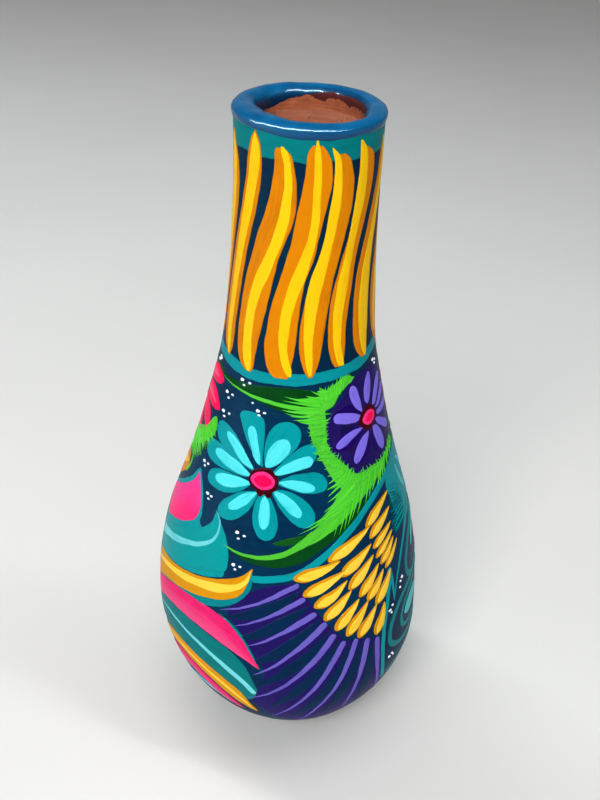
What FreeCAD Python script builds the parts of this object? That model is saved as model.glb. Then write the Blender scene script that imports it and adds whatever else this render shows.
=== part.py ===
import FreeCAD, Part
import Sketcher
import math
import os

# Hand-built terracotta vase: a bulbous body that narrows into a long, slightly
# flared neck and ends in a rolled lip. All lengths are in millimetres.
#
# Frame: +Z up along the vase's axis, origin at the centre of the foot, on the
# surface that the vase stands on. The front of the vase faces -Y.
#
# The pot is raised in five clay sections, each lapped into the one below:
#   base_slab   the round slab that closes the bottom
#   lower_bowl  the open bowl from the slab up to the widest girth
#   shoulder    the upper bowl that closes in towards the neck
#   neck_tube   the tall tube
#   rim_coil    the roll of clay that finishes the mouth
#
# The outside is one run of five arcs, each tangent to the next:
#   bowl arc      convex, foot to girth, its centre level with the girth
#   shoulder arc  convex, girth to the start of the flare
#   flare arc     concave, up to the neck joint
#   neck arc      concave and tighter, just above the neck joint
#   throat arc    concave and nearly straight, up to the rim
# The inside is the same run of arcs, one wall thickness further in.

DIMS = [
    # alias, value, what it is
    ("belly_radius", "52.25", "outer radius at the widest girth"),
    ("belly_height", "50", "height of the widest girth, where the bowls meet"),
    ("bowl_arc", "62.67", "radius of the bowl arc"),
    ("shoulder_arc", "168.27", "radius of the shoulder arc"),
    ("flare_start", "104.01", "height where the wall turns from convex to concave"),
    ("flare_arc", "446.08", "radius of the flare arc"),
    ("neck_joint", "163", "height where the neck tube is seated"),
    ("neck_arc", "114.9", "radius of the neck arc"),
    ("neck_arc_top", "175.04", "height of the end of the neck arc"),
    ("throat_arc", "637.39", "radius of the throat arc"),
    ("neck_top", "244", "height of the neck tube's end face"),
    ("wall", "6", "wall thickness, square to the surface"),
    ("slab_height", "8", "thickness of the base slab"),
    ("slab_ledge", "5", "height of the ledge that the bowl stands on"),
    ("slab_spigot", "27.4", "radius of the raised middle of the base slab"),
    ("foot_round", "1.5", "rounding of the foot's outer edge"),
    ("lap_height", "6", "height of the lap at each wall joint"),
    ("girth_lap", "49.25", "radius of the lap face at the girth"),
    ("neck_lap", "24.7", "radius of the lap face at the neck joint"),
    ("lip_ring", "21.07", "radius of the lip's centre line"),
    ("lip_roll", "3.57", "radius of the lip's round section"),
    ("lip_height", "246.43", "height of the lip's centre line"),
]
V = {name: float(value) for name, value, _ in DIMS}

doc = FreeCAD.newDocument("vase")
sheet = doc.addObject("Spreadsheet::Sheet", "Dims")
for row, (name, value, words) in enumerate(DIMS, start=1):
    sheet.set("A%d" % row, words)
    sheet.set("B%d" % row, value)
    sheet.setAlias("B%d" % row, name)
doc.recompute()


def d(name):
    return "Dims." + name


# ---------------------------------------------------------------- the arc runs
class Run:
    """One run of five tangent arcs, offset inwards from the outside by `off`.

    Keeps, for each arc, its centre and radius as numbers, and the heights where
    neighbouring arcs meet, both as numbers and as expressions on the sheet."""

    NAMES = ("bowl_arc", "shoulder_arc", "flare_arc", "neck_arc", "throat_arc")

    def __init__(self, inner):
        w = V["wall"] if inner else 0.0
        self.inner = inner
        rb, zb = V["belly_radius"], V["belly_height"]
        r1, r2, r3, r4, r5 = [V[n] for n in self.NAMES]
        z1, z2, z3 = V["flare_start"], V["neck_joint"], V["neck_arc_top"]
        c1 = (rb - r1, zb)
        c2 = (rb - r2, zb)
        s1 = (z1 - zb) / r2
        c3z = z1 + r3 * s1
        c3 = (self._x(c2, r2, z1, True) + r3 * math.sqrt(1 - s1 * s1), c3z)
        s2 = (c3z - z2) / r3
        c4z = z2 + r4 * s2
        c4 = (self._x(c3, r3, z2, False) + r4 * math.sqrt(1 - s2 * s2), c4z)
        s3 = (c4z - z3) / r4
        c5z = z3 + r5 * s3
        c5 = (self._x(c4, r4, z3, False) + r5 * math.sqrt(1 - s3 * s3), c5z)
        self.centre = [c1, c2, c3, c4, c5]
        self.radius = [r1 - w, r2 - w, r3 + w, r4 + w, r5 + w]
        self.convex = [True, True, False, False, False]
        # An inner meeting point lies on the same normal as the outer one.
        e3 = "(Dims.flare_start + Dims.flare_arc * (Dims.flare_start - Dims.belly_height) / Dims.shoulder_arc)"
        e4 = "(Dims.neck_joint + Dims.neck_arc * (%s - Dims.neck_joint) / Dims.flare_arc)" % e3
        if inner:
            self.meet = [zb, zb + (z1 - zb) * (r2 - w) / r2,
                         c3z + (z2 - c3z) * (r3 + w) / r3,
                         c4z + (z3 - c4z) * (r4 + w) / r4]
            self.meet_expr = [
                "Dims.belly_height",
                "Dims.belly_height + (Dims.flare_start - Dims.belly_height)"
                " * (Dims.shoulder_arc - Dims.wall) / Dims.shoulder_arc",
                "%s + (Dims.neck_joint - %s) * (Dims.flare_arc + Dims.wall) / Dims.flare_arc" % (e3, e3),
                "%s + (Dims.neck_arc_top - %s) * (Dims.neck_arc + Dims.wall) / Dims.neck_arc" % (e4, e4),
            ]
            self.radius_expr = ["Dims.bowl_arc - Dims.wall", "Dims.shoulder_arc - Dims.wall",
                                "Dims.flare_arc + Dims.wall", "Dims.neck_arc + Dims.wall",
                                "Dims.throat_arc + Dims.wall"]
            self.girth = rb - w
            self.girth_expr = "Dims.belly_radius - Dims.wall"
        else:
            self.meet = [zb, z1, z2, z3]
            self.meet_expr = ["Dims.belly_height", "Dims.flare_start", "Dims.neck_joint", "Dims.neck_arc_top"]
            self.radius_expr = ["Dims." + n for n in self.NAMES]
            self.girth = rb
            self.girth_expr = "Dims.belly_radius"

    @staticmethod
    def _x(c, r, z, convex):
        k = math.sqrt(r * r - (z - c[1]) ** 2)
        return c[0] + k if convex else c[0] - k

    def x_at(self, z):
        """Radius of the run at height z."""
        i = 0
        while i < 4 and z > self.meet[i] + 1e-9:
            i += 1
        return self._x(self.centre[i], self.radius[i], z, self.convex[i])


OUT, INN = Run(False), Run(True)


class Profile:
    """A half section in the body's XZ plane: x is the radius, y the height."""

    def __init__(self, body, name):
        self.sk = body.newObject("Sketcher::SketchObject", name)
        plane = [f for f in body.Origin.OriginFeatures if f.Role == "XZ_Plane"][0]
        self.sk.AttachmentSupport = [(plane, "")]
        self.sk.MapMode = "FlatFace"
        self.n = 0

    def line(self, a, b):
        g = self.sk.addGeometry(
            Part.LineSegment(FreeCAD.Vector(a[0], a[1], 0), FreeCAD.Vector(b[0], b[1], 0)), False)
        return {"g": g, "a": 1, "b": 2}

    def arc(self, run, i, za, zb, construction=False):
        """Arc i of a run, from height za to height zb."""
        c, r = run.centre[i], run.radius[i]
        pa = math.atan2(za - c[1], run._x(c, r, za, run.convex[i]) - c[0])
        pb = math.atan2(zb - c[1], run._x(c, r, zb, run.convex[i]) - c[0])
        if not run.convex[i]:
            pa, pb = pa % (2 * math.pi), pb % (2 * math.pi)
        lo, hi = min(pa, pb), max(pa, pb)
        g = self.sk.addGeometry(
            Part.ArcOfCircle(Part.Circle(FreeCAD.Vector(c[0], c[1], 0), FreeCAD.Vector(0, 0, 1), r), lo, hi),
            construction)
        first = abs(pa - lo) < 1e-12
        return {"g": g, "a": 1 if first else 2, "b": 2 if first else 1, "run": run, "i": i}

    def _named(self, con, expr):
        k = self.sk.addConstraint(con)
        self.n += 1
        name = "dim%d" % self.n
        self.sk.renameConstraint(k, name)
        self.sk.setExpression("Constraints." + name, expr)

    def radius(self, e):
        self._named(Sketcher.Constraint("Radius", e["g"], e["run"].radius[e["i"]]), e["run"].radius_expr[e["i"]])

    def height(self, e, end, z, expr):
        self._named(Sketcher.Constraint("DistanceY", -1, 1, e["g"], e[end] if end in e else end, z), expr)

    def out(self, e, end, x, expr):
        self._named(Sketcher.Constraint("DistanceX", -1, 1, e["g"], e[end] if end in e else end, x), expr)

    def join(self, e, f, ee="b", ff="a"):
        self.sk.addConstraint(Sketcher.Constraint("Coincident", e["g"], e[ee], f["g"], f[ff]))

    def smooth(self, e, f, ee="b", ff="a"):
        self.sk.addConstraint(Sketcher.Constraint("Tangent", e["g"], e[ee], f["g"], f[ff]))

    def level(self, e):
        self.sk.addConstraint(Sketcher.Constraint("Horizontal", e["g"]))

    def upright(self, e):
        self.sk.addConstraint(Sketcher.Constraint("Vertical", e["g"]))

    def girth_arc(self, e, girth_end):
        """An arc that starts at the girth, where the wall stands upright."""
        run = e["run"]
        self.radius(e)
        self.height(e, 3, V["belly_height"], "Dims.belly_height")
        self.height(e, girth_end, V["belly_height"], "Dims.belly_height")
        self.out(e, girth_end, run.girth, run.girth_expr)


def revolve(body, profile, name):
    rev = body.newObject("PartDesign::Revolution", name)
    rev.Profile = profile.sk
    rev.ReferenceAxis = (profile.sk, ["V_Axis"])
    rev.Angle = 360.0
    body.Tip = rev
    return rev


def new_body(label):
    body = doc.addObject("PartDesign::Body", label)
    body.Label = label
    body.Placement = FreeCAD.Placement(FreeCAD.Vector(0, 0, 0), FreeCAD.Rotation())
    return body


zb, z1, z2, z3 = V["belly_height"], V["flare_start"], V["neck_joint"], V["neck_arc_top"]
lap1, lap2, top = zb + V["lap_height"], z2 + V["lap_height"], V["neck_top"]
LAP1, LAP2 = "Dims.belly_height + Dims.lap_height", "Dims.neck_joint + Dims.lap_height"

# ---------------------------------------------------------------- base_slab
# A round slab. Its raised middle fits inside the bowl's lower edge, and the
# bowl stands on the ledge around it. Its own edge carries on the bowl's curve.
base = new_body("base_slab")
P = Profile(base, "slab_profile")
zl, zs, rs = V["slab_ledge"], V["slab_height"], V["slab_spigot"]
bottom = P.line((0, 0), (OUT.x_at(0), 0))
edge = P.arc(OUT, 0, 0, zl)
ledge = P.line((OUT.x_at(zl), zl), (rs, zl))
side = P.line((rs, zl), (rs, zs))
floor = P.line((rs, zs), (0, zs))
axis = P.line((0, zs), (0, 0))
for e, f in ((bottom, edge), (edge, ledge), (ledge, side), (side, floor), (floor, axis), (axis, bottom)):
    P.join(e, f)
for e in (bottom, ledge, floor):
    P.level(e)
for e in (side, axis):
    P.upright(e)
P.sk.addConstraint(Sketcher.Constraint("Coincident", bottom["g"], 1, -1, 1))
P.radius(edge)
P.height(edge, 3, zb, "Dims.belly_height")
P._named(Sketcher.Constraint("DistanceX", edge["g"], 3, -1, 1, V["bowl_arc"] - V["belly_radius"]),
         "Dims.bowl_arc - Dims.belly_radius")
P.height(ledge, "a", zl, d("slab_ledge"))
P.height(floor, "a", zs, d("slab_height"))
P.out(side, "a", rs, d("slab_spigot"))
slab = revolve(base, P, "slab")
doc.recompute()
names = []
for k, ed in enumerate(slab.Shape.Edges, start=1):
    bb = ed.BoundBox
    if abs(bb.ZMax) < 1e-6 and abs(bb.ZMin) < 1e-6 and abs(bb.XMax - OUT.x_at(0)) < 1e-3:
        names.append("Edge%d" % k)
foot = base.newObject("PartDesign::Fillet", "foot_edge")
foot.Base = (slab, names[:1])
foot.Radius = V["foot_round"]
foot.setExpression("Radius", d("foot_round"))
base.Tip = foot

# ---------------------------------------------------------------- lower_bowl
# The open bowl. At the girth the inner half of the wall stands up as a lap
# that the shoulder fits over.
bowl = new_body("lower_bowl")
P = Profile(bowl, "bowl_profile")
zi = math.sqrt(INN.radius[0] ** 2 - (rs - INN.centre[0][0]) ** 2)
zi = INN.centre[0][1] - zi
gl = V["girth_lap"]
outer = P.arc(OUT, 0, zl, zb)
seat = P.line((OUT.girth, zb), (gl, zb))
lap = P.line((gl, zb), (gl, lap1))
crest = P.line((gl, lap1), (INN.x_at(lap1), lap1))
in_up = P.arc(INN, 1, lap1, zb)
in_dn = P.arc(INN, 0, zb, zi)
bore = P.line((rs, zi), (rs, zl))
under = P.line((rs, zl), (OUT.x_at(zl), zl))
P.join(outer, seat)
P.join(seat, lap)
P.join(lap, crest)
P.join(crest, in_up)
P.join(in_up, in_dn)
P.join(in_dn, bore)
P.join(bore, under)
P.join(under, outer)
for e in (seat, crest, under):
    P.level(e)
for e in (lap, bore):
    P.upright(e)
P.girth_arc(outer, "b")
P.radius(in_up)
P.height(in_up, 3, zb, "Dims.belly_height")
P.height(in_up, "b", zb, "Dims.belly_height")
P.out(in_up, "b", INN.girth, INN.girth_expr)
P.radius(in_dn)
P.height(in_dn, 3, zb, "Dims.belly_height")
P.height(under, "a", zl, d("slab_ledge"))
P.out(bore, "a", rs, d("slab_spigot"))
P.out(lap, "a", gl, d("girth_lap"))
P.height(lap, "b", lap1, LAP1)
revolve(bowl, P, "bowl")

# ---------------------------------------------------------------- shoulder
# The upper bowl. It fits over the lower bowl's lap, and ends in a lap of its
# own that the neck tube fits over.
shoulder = new_body("shoulder")
P = Profile(shoulder, "shoulder_profile")
nl = V["neck_lap"]
o2 = P.arc(OUT, 1, zb, z1)
o3 = P.arc(OUT, 2, z1, z2)
seat = P.line((OUT.x_at(z2), z2), (nl, z2))
lap = P.line((nl, z2), (nl, lap2))
crest = P.line((nl, lap2), (INN.x_at(lap2), lap2))
i4 = P.arc(INN, 3, lap2, INN.meet[2])
i3 = P.arc(INN, 2, INN.meet[2], INN.meet[1])
i2 = P.arc(INN, 1, INN.meet[1], lap1)
step = P.line((INN.x_at(lap1), lap1), (gl, lap1))
drop = P.line((gl, lap1), (gl, zb))
under = P.line((gl, zb), (OUT.girth, zb))
P.smooth(o2, o3)
P.join(o3, seat)
P.join(seat, lap)
P.join(lap, crest)
P.join(crest, i4)
P.smooth(i4, i3)
P.smooth(i3, i2)
P.join(i2, step)
P.join(step, drop)
P.join(drop, under)
P.join(under, o2)
for e in (seat, crest, step, under):
    P.level(e)
for e in (lap, drop):
    P.upright(e)
P.girth_arc(o2, "a")
P.height(o2, "b", z1, d("flare_start"))
P.radius(o3)
P.height(o3, "b", z2, d("neck_joint"))
P.radius(i2)
P.height(i2, 3, zb, "Dims.belly_height")
P._named(Sketcher.Constraint("DistanceX", i2["g"], 3, -1, 1, V["shoulder_arc"] - V["belly_radius"]),
         "Dims.shoulder_arc - Dims.belly_radius")
P.height(i2, "a", INN.meet[1], INN.meet_expr[1])
P.radius(i3)
P.height(i3, "a", INN.meet[2], INN.meet_expr[2])
P.radius(i4)
P.out(lap, "a", nl, d("neck_lap"))
P.height(lap, "b", lap2, LAP2)
P.out(drop, "a", gl, d("girth_lap"))
P.height(drop, "a", lap1, LAP1)
revolve(shoulder, P, "shoulder_wall")

# ---------------------------------------------------------------- neck_tube
# The tall tube. The dashed arcs below it are the wall underneath, which sets
# the slope at which the tube starts.
neck = new_body("neck_tube")
P = Profile(neck, "neck_profile")
c2o = P.arc(OUT, 1, zb, z1, True)
c3o = P.arc(OUT, 2, z1, z2, True)
c2i = P.arc(INN, 1, zb, INN.meet[1], True)
c3i = P.arc(INN, 2, INN.meet[1], INN.meet[2], True)
c4i = P.arc(INN, 3, INN.meet[2], lap2, True)
o4 = P.arc(OUT, 3, z2, z3)
o5 = P.arc(OUT, 4, z3, top)
end = P.line((OUT.x_at(top), top), (INN.x_at(top), top))
i5 = P.arc(INN, 4, top, INN.meet[3])
i4 = P.arc(INN, 3, INN.meet[3], lap2)
step = P.line((INN.x_at(lap2), lap2), (nl, lap2))
drop = P.line((nl, lap2), (nl, z2))
under = P.line((nl, z2), (OUT.x_at(z2), z2))
P.girth_arc(c2o, "a")
P.smooth(c2o, c3o)
P.height(c2o, "b", z1, d("flare_start"))
P.radius(c3o)
P.smooth(c3o, o4)
P.height(c3o, "b", z2, d("neck_joint"))
P.girth_arc(c2i, "a")
P.smooth(c2i, c3i)
P.height(c2i, "b", INN.meet[1], INN.meet_expr[1])
P.radius(c3i)
P.smooth(c3i, c4i)
P.height(c3i, "b", INN.meet[2], INN.meet_expr[2])
P.radius(c4i)
P.height(c4i, "b", lap2, LAP2)
P.radius(o4)
P.smooth(o4, o5)
P.height(o4, "b", z3, d("neck_arc_top"))
P.radius(o5)
P.join(o5, end)
P.join(end, i5)
P.smooth(i5, i4)
P.smooth(c4i, i4, "b", "b")
P.radius(i4)
P.join(i4, step)
P.join(step, drop)
P.join(drop, under)
P.join(under, o4)
P.radius(i5)
P.height(i5, "b", INN.meet[3], INN.meet_expr[3])
for e in (end, step, under):
    P.level(e)
P.upright(drop)
P.height(o5, "b", top, d("neck_top"))
P.out(drop, "a", nl, d("neck_lap"))
revolve(neck, P, "neck_wall")

# ---------------------------------------------------------------- rim_coil
# A roll of clay, flattened underneath where it is pressed onto the neck.
rim = new_body("rim_coil")
P = Profile(rim, "lip_profile")
cr, cz, rr = V["lip_ring"], V["lip_height"], V["lip_roll"]
half = math.sqrt(rr * rr - (cz - top) ** 2)
a0 = math.atan2(top - cz, half)
a1 = math.atan2(top - cz, -half) % (2 * math.pi)
g = P.sk.addGeometry(
    Part.ArcOfCircle(Part.Circle(FreeCAD.Vector(cr, cz, 0), FreeCAD.Vector(0, 0, 1), rr), a0, a1), False)
roll = {"g": g, "a": 1, "b": 2}
flat = P.line((cr - half, top), (cr + half, top))
P.join(roll, flat)
P.join(flat, roll)
P.level(flat)
P._named(Sketcher.Constraint("Radius", g, rr), d("lip_roll"))
P.height(roll, 3, cz, d("lip_height"))
P.out(roll, 3, cr, d("lip_ring"))
P.height(flat, "a", top, d("neck_top"))
revolve(rim, P, "lip")

# ---------------------------------------------------------------- check, write
doc.recompute()
pieces = [base, bowl, shoulder, neck, rim]
for obj in doc.Objects:
    bad = [w for w in obj.State if w in ("Invalid", "Error")]
    if bad:
        raise SystemExit("%s is %s" % (obj.Name, bad))
    if obj.TypeId == "Sketcher::SketchObject":
        obj.solve()
        print(obj.Name, "constraints", obj.ConstraintCount, "fully constrained", obj.FullyConstrained)
for body in pieces:
    shape = body.Shape
    if shape.isNull() or not shape.isValid() or len(shape.Solids) != 1:
        raise SystemExit("%s has no valid single solid" % body.Label)
    bb = shape.BoundBox
    print("%-10s volume %10.1f mm3  z %7.2f to %7.2f  radius %6.2f" % (
        body.Label, shape.Volume, bb.ZMin, bb.ZMax, bb.XMax))
for i, one in enumerate(pieces):
    for two in pieces[i + 1:]:
        common = one.Shape.common(two.Shape).Volume
        if common > 1e-3:
            raise SystemExit("%s and %s overlap by %.4f mm3" % (one.Label, two.Label, common))

os.makedirs("parts", exist_ok=True)
for body in pieces:
    body.Shape.exportStep(os.path.join("parts", body.Label + ".step"))
print("wrote", len(pieces), "pieces")
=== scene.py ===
import bpy
import math
import random
import numpy as np
from mathutils import Matrix, Vector


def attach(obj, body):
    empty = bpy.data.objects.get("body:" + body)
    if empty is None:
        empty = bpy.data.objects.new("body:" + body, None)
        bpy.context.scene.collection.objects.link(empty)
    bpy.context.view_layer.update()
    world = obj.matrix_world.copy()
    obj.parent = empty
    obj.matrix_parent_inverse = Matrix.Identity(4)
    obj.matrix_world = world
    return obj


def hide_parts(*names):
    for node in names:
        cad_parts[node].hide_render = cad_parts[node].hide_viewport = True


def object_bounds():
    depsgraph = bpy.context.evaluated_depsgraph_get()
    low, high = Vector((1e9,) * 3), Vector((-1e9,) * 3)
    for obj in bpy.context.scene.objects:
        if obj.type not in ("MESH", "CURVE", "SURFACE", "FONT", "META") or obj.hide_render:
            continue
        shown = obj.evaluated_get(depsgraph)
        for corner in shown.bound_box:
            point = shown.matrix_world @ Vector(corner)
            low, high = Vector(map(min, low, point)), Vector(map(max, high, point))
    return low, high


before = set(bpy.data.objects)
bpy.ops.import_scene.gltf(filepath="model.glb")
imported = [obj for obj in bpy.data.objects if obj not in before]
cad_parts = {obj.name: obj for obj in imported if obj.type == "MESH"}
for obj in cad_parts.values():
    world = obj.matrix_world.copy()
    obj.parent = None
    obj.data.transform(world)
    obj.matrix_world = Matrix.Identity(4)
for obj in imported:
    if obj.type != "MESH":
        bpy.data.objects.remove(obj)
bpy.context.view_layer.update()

# A hand-painted terracotta vase, in metres, in the CAD's frame.
# The clay is five sections, each rebuilt here as a fine closed mesh round the
# CAD's own wall, with the slight unevenness of a hand-built pot. The decoration
# is real brushwork: every stroke is a thin raised skin of paint laid on the
# clay, in the order a painter lays them, grouped into one piece per colour.
#
# Places on the outside are given as (angle, height): the angle in degrees, 0 at
# the front (-Y) and growing towards +X, and the height in millimetres.

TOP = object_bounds()[1].z * 1000.0          # 250 mm
MM = 0.001


# ---------------------------------------------------------------- the wall
class Run:
    """The five tangent arcs of the outside, or of the inside, one wall in."""

    RB, ZB, WALL = 52.25, 50.0, 6.0
    ARCS = (62.67, 168.27, 446.08, 114.9, 637.39)
    JOINTS = (104.01, 163.0, 175.04)

    def __init__(self, inner):
        w = self.WALL if inner else 0.0
        r1, r2, r3, r4, r5 = self.ARCS
        z1, z2, z3 = self.JOINTS
        rb, zb = self.RB, self.ZB
        c1, c2 = (rb - r1, zb), (rb - r2, zb)
        s1 = (z1 - zb) / r2
        c3z = z1 + r3 * s1
        c3 = (self.x(c2, r2, z1, 1) + r3 * math.sqrt(1 - s1 * s1), c3z)
        s2 = (c3z - z2) / r3
        c4z = z2 + r4 * s2
        c4 = (self.x(c3, r3, z2, -1) + r4 * math.sqrt(1 - s2 * s2), c4z)
        s3 = (c4z - z3) / r4
        c5z = z3 + r5 * s3
        c5 = (self.x(c4, r4, z3, -1) + r5 * math.sqrt(1 - s3 * s3), c5z)
        self.c = (c1, c2, c3, c4, c5)
        self.r = (r1 - w, r2 - w, r3 + w, r4 + w, r5 + w)
        self.side = (1, 1, -1, -1, -1)
        self.meet = (zb, z1, z2, z3) if not inner else (
            zb, zb + (z1 - zb) * (r2 - w) / r2, c3z + (z2 - c3z) * (r3 + w) / r3, c4z + (z3 - c4z) * (r4 + w) / r4)

    @staticmethod
    def x(c, r, z, side):
        return c[0] + side * math.sqrt(max(r * r - (z - c[1]) ** 2, 0.0))

    def at(self, z):
        i = 0
        while i < 4 and z > self.meet[i] + 1e-9:
            i += 1
        return self.x(self.c[i], self.r[i], z, self.side[i])


OUT, INN = Run(False), Run(True)

# Tables for fast lookup: radius, slope and length along the outside.
TZ = np.linspace(0.0, 250.0, 5001)
TR = np.array([OUT.at(z) for z in TZ])
TD = np.gradient(TR, TZ)
TS = np.concatenate([[0.0], np.cumsum(np.hypot(np.diff(TR), np.diff(TZ)))])


def r_of(z):
    return np.interp(z, TZ, TR)


def s_of(z):
    return np.interp(z, TZ, TS)


def z_of(s):
    return np.interp(s, TS, TZ)


# ---------------------------------------------------------------- the hand
# The pot is not quite round or quite straight. One smooth field moves every
# piece, clay and paint alike, so they stay together.
SHIFT_Z = [0.0, 12.0, 26.0, 38.0, 50.0, 64.0, 84.0, 110.0, 140.0, 180.0, 250.0]
SHIFT_X = [0.9, 1.35, 1.3, 0.75, 0.0, -0.35, -0.3, 0.0, 0.1, 0.2, 0.6]
_zz = np.linspace(0, 250, 501)
_xx = np.interp(_zz, SHIFT_Z, SHIFT_X)
for _ in range(60):
    _xx[1:-1] = 0.25 * _xx[:-2] + 0.5 * _xx[1:-1] + 0.25 * _xx[2:]


def warp(x, y, z):
    """Moves points given in mm, and returns them in mm."""
    th = np.arctan2(x, -y)
    rad = np.hypot(x, y)
    lump = (0.16 * np.sin(2 * th + 0.6 + z / 70.0) + 0.11 * np.sin(3 * th - z / 38.0 + 1.3)
            + 0.055 * np.sin(5 * th + z / 17.0) + 0.035 * np.sin(9 * th - z / 9.0 + 0.4)
            + 0.05 * np.sin(z / 6.1 + 2.0 * np.sin(th)))
    k = np.clip(z / 6.0, 0.0, 1.0) * np.clip(rad / 12.0, 0.0, 1.0)
    f = 1.0 + k * lump / np.maximum(rad, 1.0)
    return x * f + np.interp(z, _zz, _xx) * np.clip(z / 4.0, 0.35, 1.0), y * f, z


def on_wall(th_deg, z, h):
    """Points at height h (mm) above the outside wall, warped, in metres."""
    th = np.radians(th_deg)
    r = np.interp(z, TZ, TR)
    d = np.interp(z, TZ, TD)
    n = 1.0 / np.sqrt(1.0 + d * d)
    rr = r + h * n
    zz = z - h * d * n
    x, y, zz = warp(rr * np.sin(th), -rr * np.cos(th), zz)
    return np.stack([x, y, zz], -1) * MM


# ---------------------------------------------------------------- materials
def lin(c):
    return tuple((v / 12.92 if v <= 0.04045 else ((v + 0.055) / 1.055) ** 2.4) for v in (k / 255.0 for k in c))


class Graph:
    """A short way to write a node graph."""

    def __init__(self, name):
        self.mat = bpy.data.materials.new(name)
        self.mat.use_nodes = True
        self.t = self.mat.node_tree
        self.t.nodes.clear()

    def node(self, kind, **props):
        n = self.t.nodes.new(kind)
        for k, v in props.items():
            setattr(n, k, v)
        return n

    def put(self, sock, value):
        if hasattr(value, "is_output"):
            self.t.links.new(value, sock)
        else:
            sock.default_value = value

    def math(self, op, a, b=0.0, c=0.0, clamp=False):
        n = self.node("ShaderNodeMath", operation=op, use_clamp=clamp)
        for i, v in enumerate((a, b, c)):
            if i < len(n.inputs):
                self.put(n.inputs[i], v)
        return n.outputs[0]

    def attr(self, name):
        return self.node("ShaderNodeAttribute", attribute_name=name, attribute_type="GEOMETRY")

    def sep(self, vec):
        n = self.node("ShaderNodeSeparateXYZ")
        self.put(n.inputs[0], vec)
        return n.outputs

    def comb(self, x, y, z):
        n = self.node("ShaderNodeCombineXYZ")
        for i, v in enumerate((x, y, z)):
            self.put(n.inputs[i], v)
        return n.outputs[0]

    def noise(self, vec, scale, detail=3.0, rough=0.5, dist=0.0):
        n = self.node("ShaderNodeTexNoise")
        self.put(n.inputs["Vector"], vec)
        n.inputs["Scale"].default_value = scale
        n.inputs["Detail"].default_value = detail
        n.inputs["Roughness"].default_value = rough
        n.inputs["Distortion"].default_value = dist
        return n.outputs["Fac"]

    def ramp(self, fac, stops, interp="LINEAR"):
        n = self.node("ShaderNodeValToRGB")
        self.put(n.inputs[0], fac)
        r = n.color_ramp
        r.interpolation = interp
        while len(r.elements) < len(stops):
            r.elements.new(0.5)
        for e, (p, c) in zip(r.elements, stops):
            e.position = p
            e.color = (*c, 1.0) if len(c) == 3 else c
        return n.outputs[0]

    def grey(self, fac, stops):
        return self.ramp(fac, [(p, (v, v, v)) for p, v in stops])

    def mix(self, fac, a, b, blend="MIX"):
        n = self.node("ShaderNodeMix", data_type="RGBA", blend_type=blend)
        n.inputs["Factor"].default_value = 1.0
        self.put(n.inputs["Factor"], fac)
        a_in = [s for s in n.inputs if s.name == "A" and s.type == "RGBA"][0]
        b_in = [s for s in n.inputs if s.name == "B" and s.type == "RGBA"][0]
        self.put(a_in, a if hasattr(a, "is_output") else (*a, 1.0))
        self.put(b_in, b if hasattr(b, "is_output") else (*b, 1.0))
        return [s for s in n.outputs if s.type == "RGBA"][0]

    def bump(self, height, strength, distance, normal=None):
        n = self.node("ShaderNodeBump")
        self.put(n.inputs["Strength"], strength)
        n.inputs["Distance"].default_value = distance
        self.put(n.inputs["Height"], height)
        if normal is not None:
            self.put(n.inputs["Normal"], normal)
        return n.outputs[0]

    def finish(self, color, rough, normal=None, coat=0.0, coat_rough=0.06, coat_normal=None, spec=0.5, coat_ior=1.36):
        b = self.node("ShaderNodeBsdfPrincipled")
        self.put(b.inputs["Base Color"], color)
        self.put(b.inputs["Roughness"], rough)
        b.inputs["Specular IOR Level"].default_value = spec
        if normal is not None:
            self.put(b.inputs["Normal"], normal)
        if coat:
            b.inputs["Coat Weight"].default_value = coat
            self.put(b.inputs["Coat Roughness"], coat_rough)
            b.inputs["Coat IOR"].default_value = coat_ior
            if coat_normal is not None:
                self.put(b.inputs["Coat Normal"], coat_normal)
        out = self.node("ShaderNodeOutputMaterial")
        self.t.links.new(b.outputs[0], out.inputs[0])
        return self.mat


def varnish(g, obj):
    """The clear coat's own surface: long soft waves and a fine orange peel."""
    wave = g.noise(obj, 55.0, 2.0, 0.5)
    peel = g.noise(obj, 900.0, 2.0, 0.6)
    h = g.math("ADD", g.math("MULTIPLY", wave, 1.0), g.math("MULTIPLY", peel, 0.035))
    return g.bump(h, 0.55, 0.0006)


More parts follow.
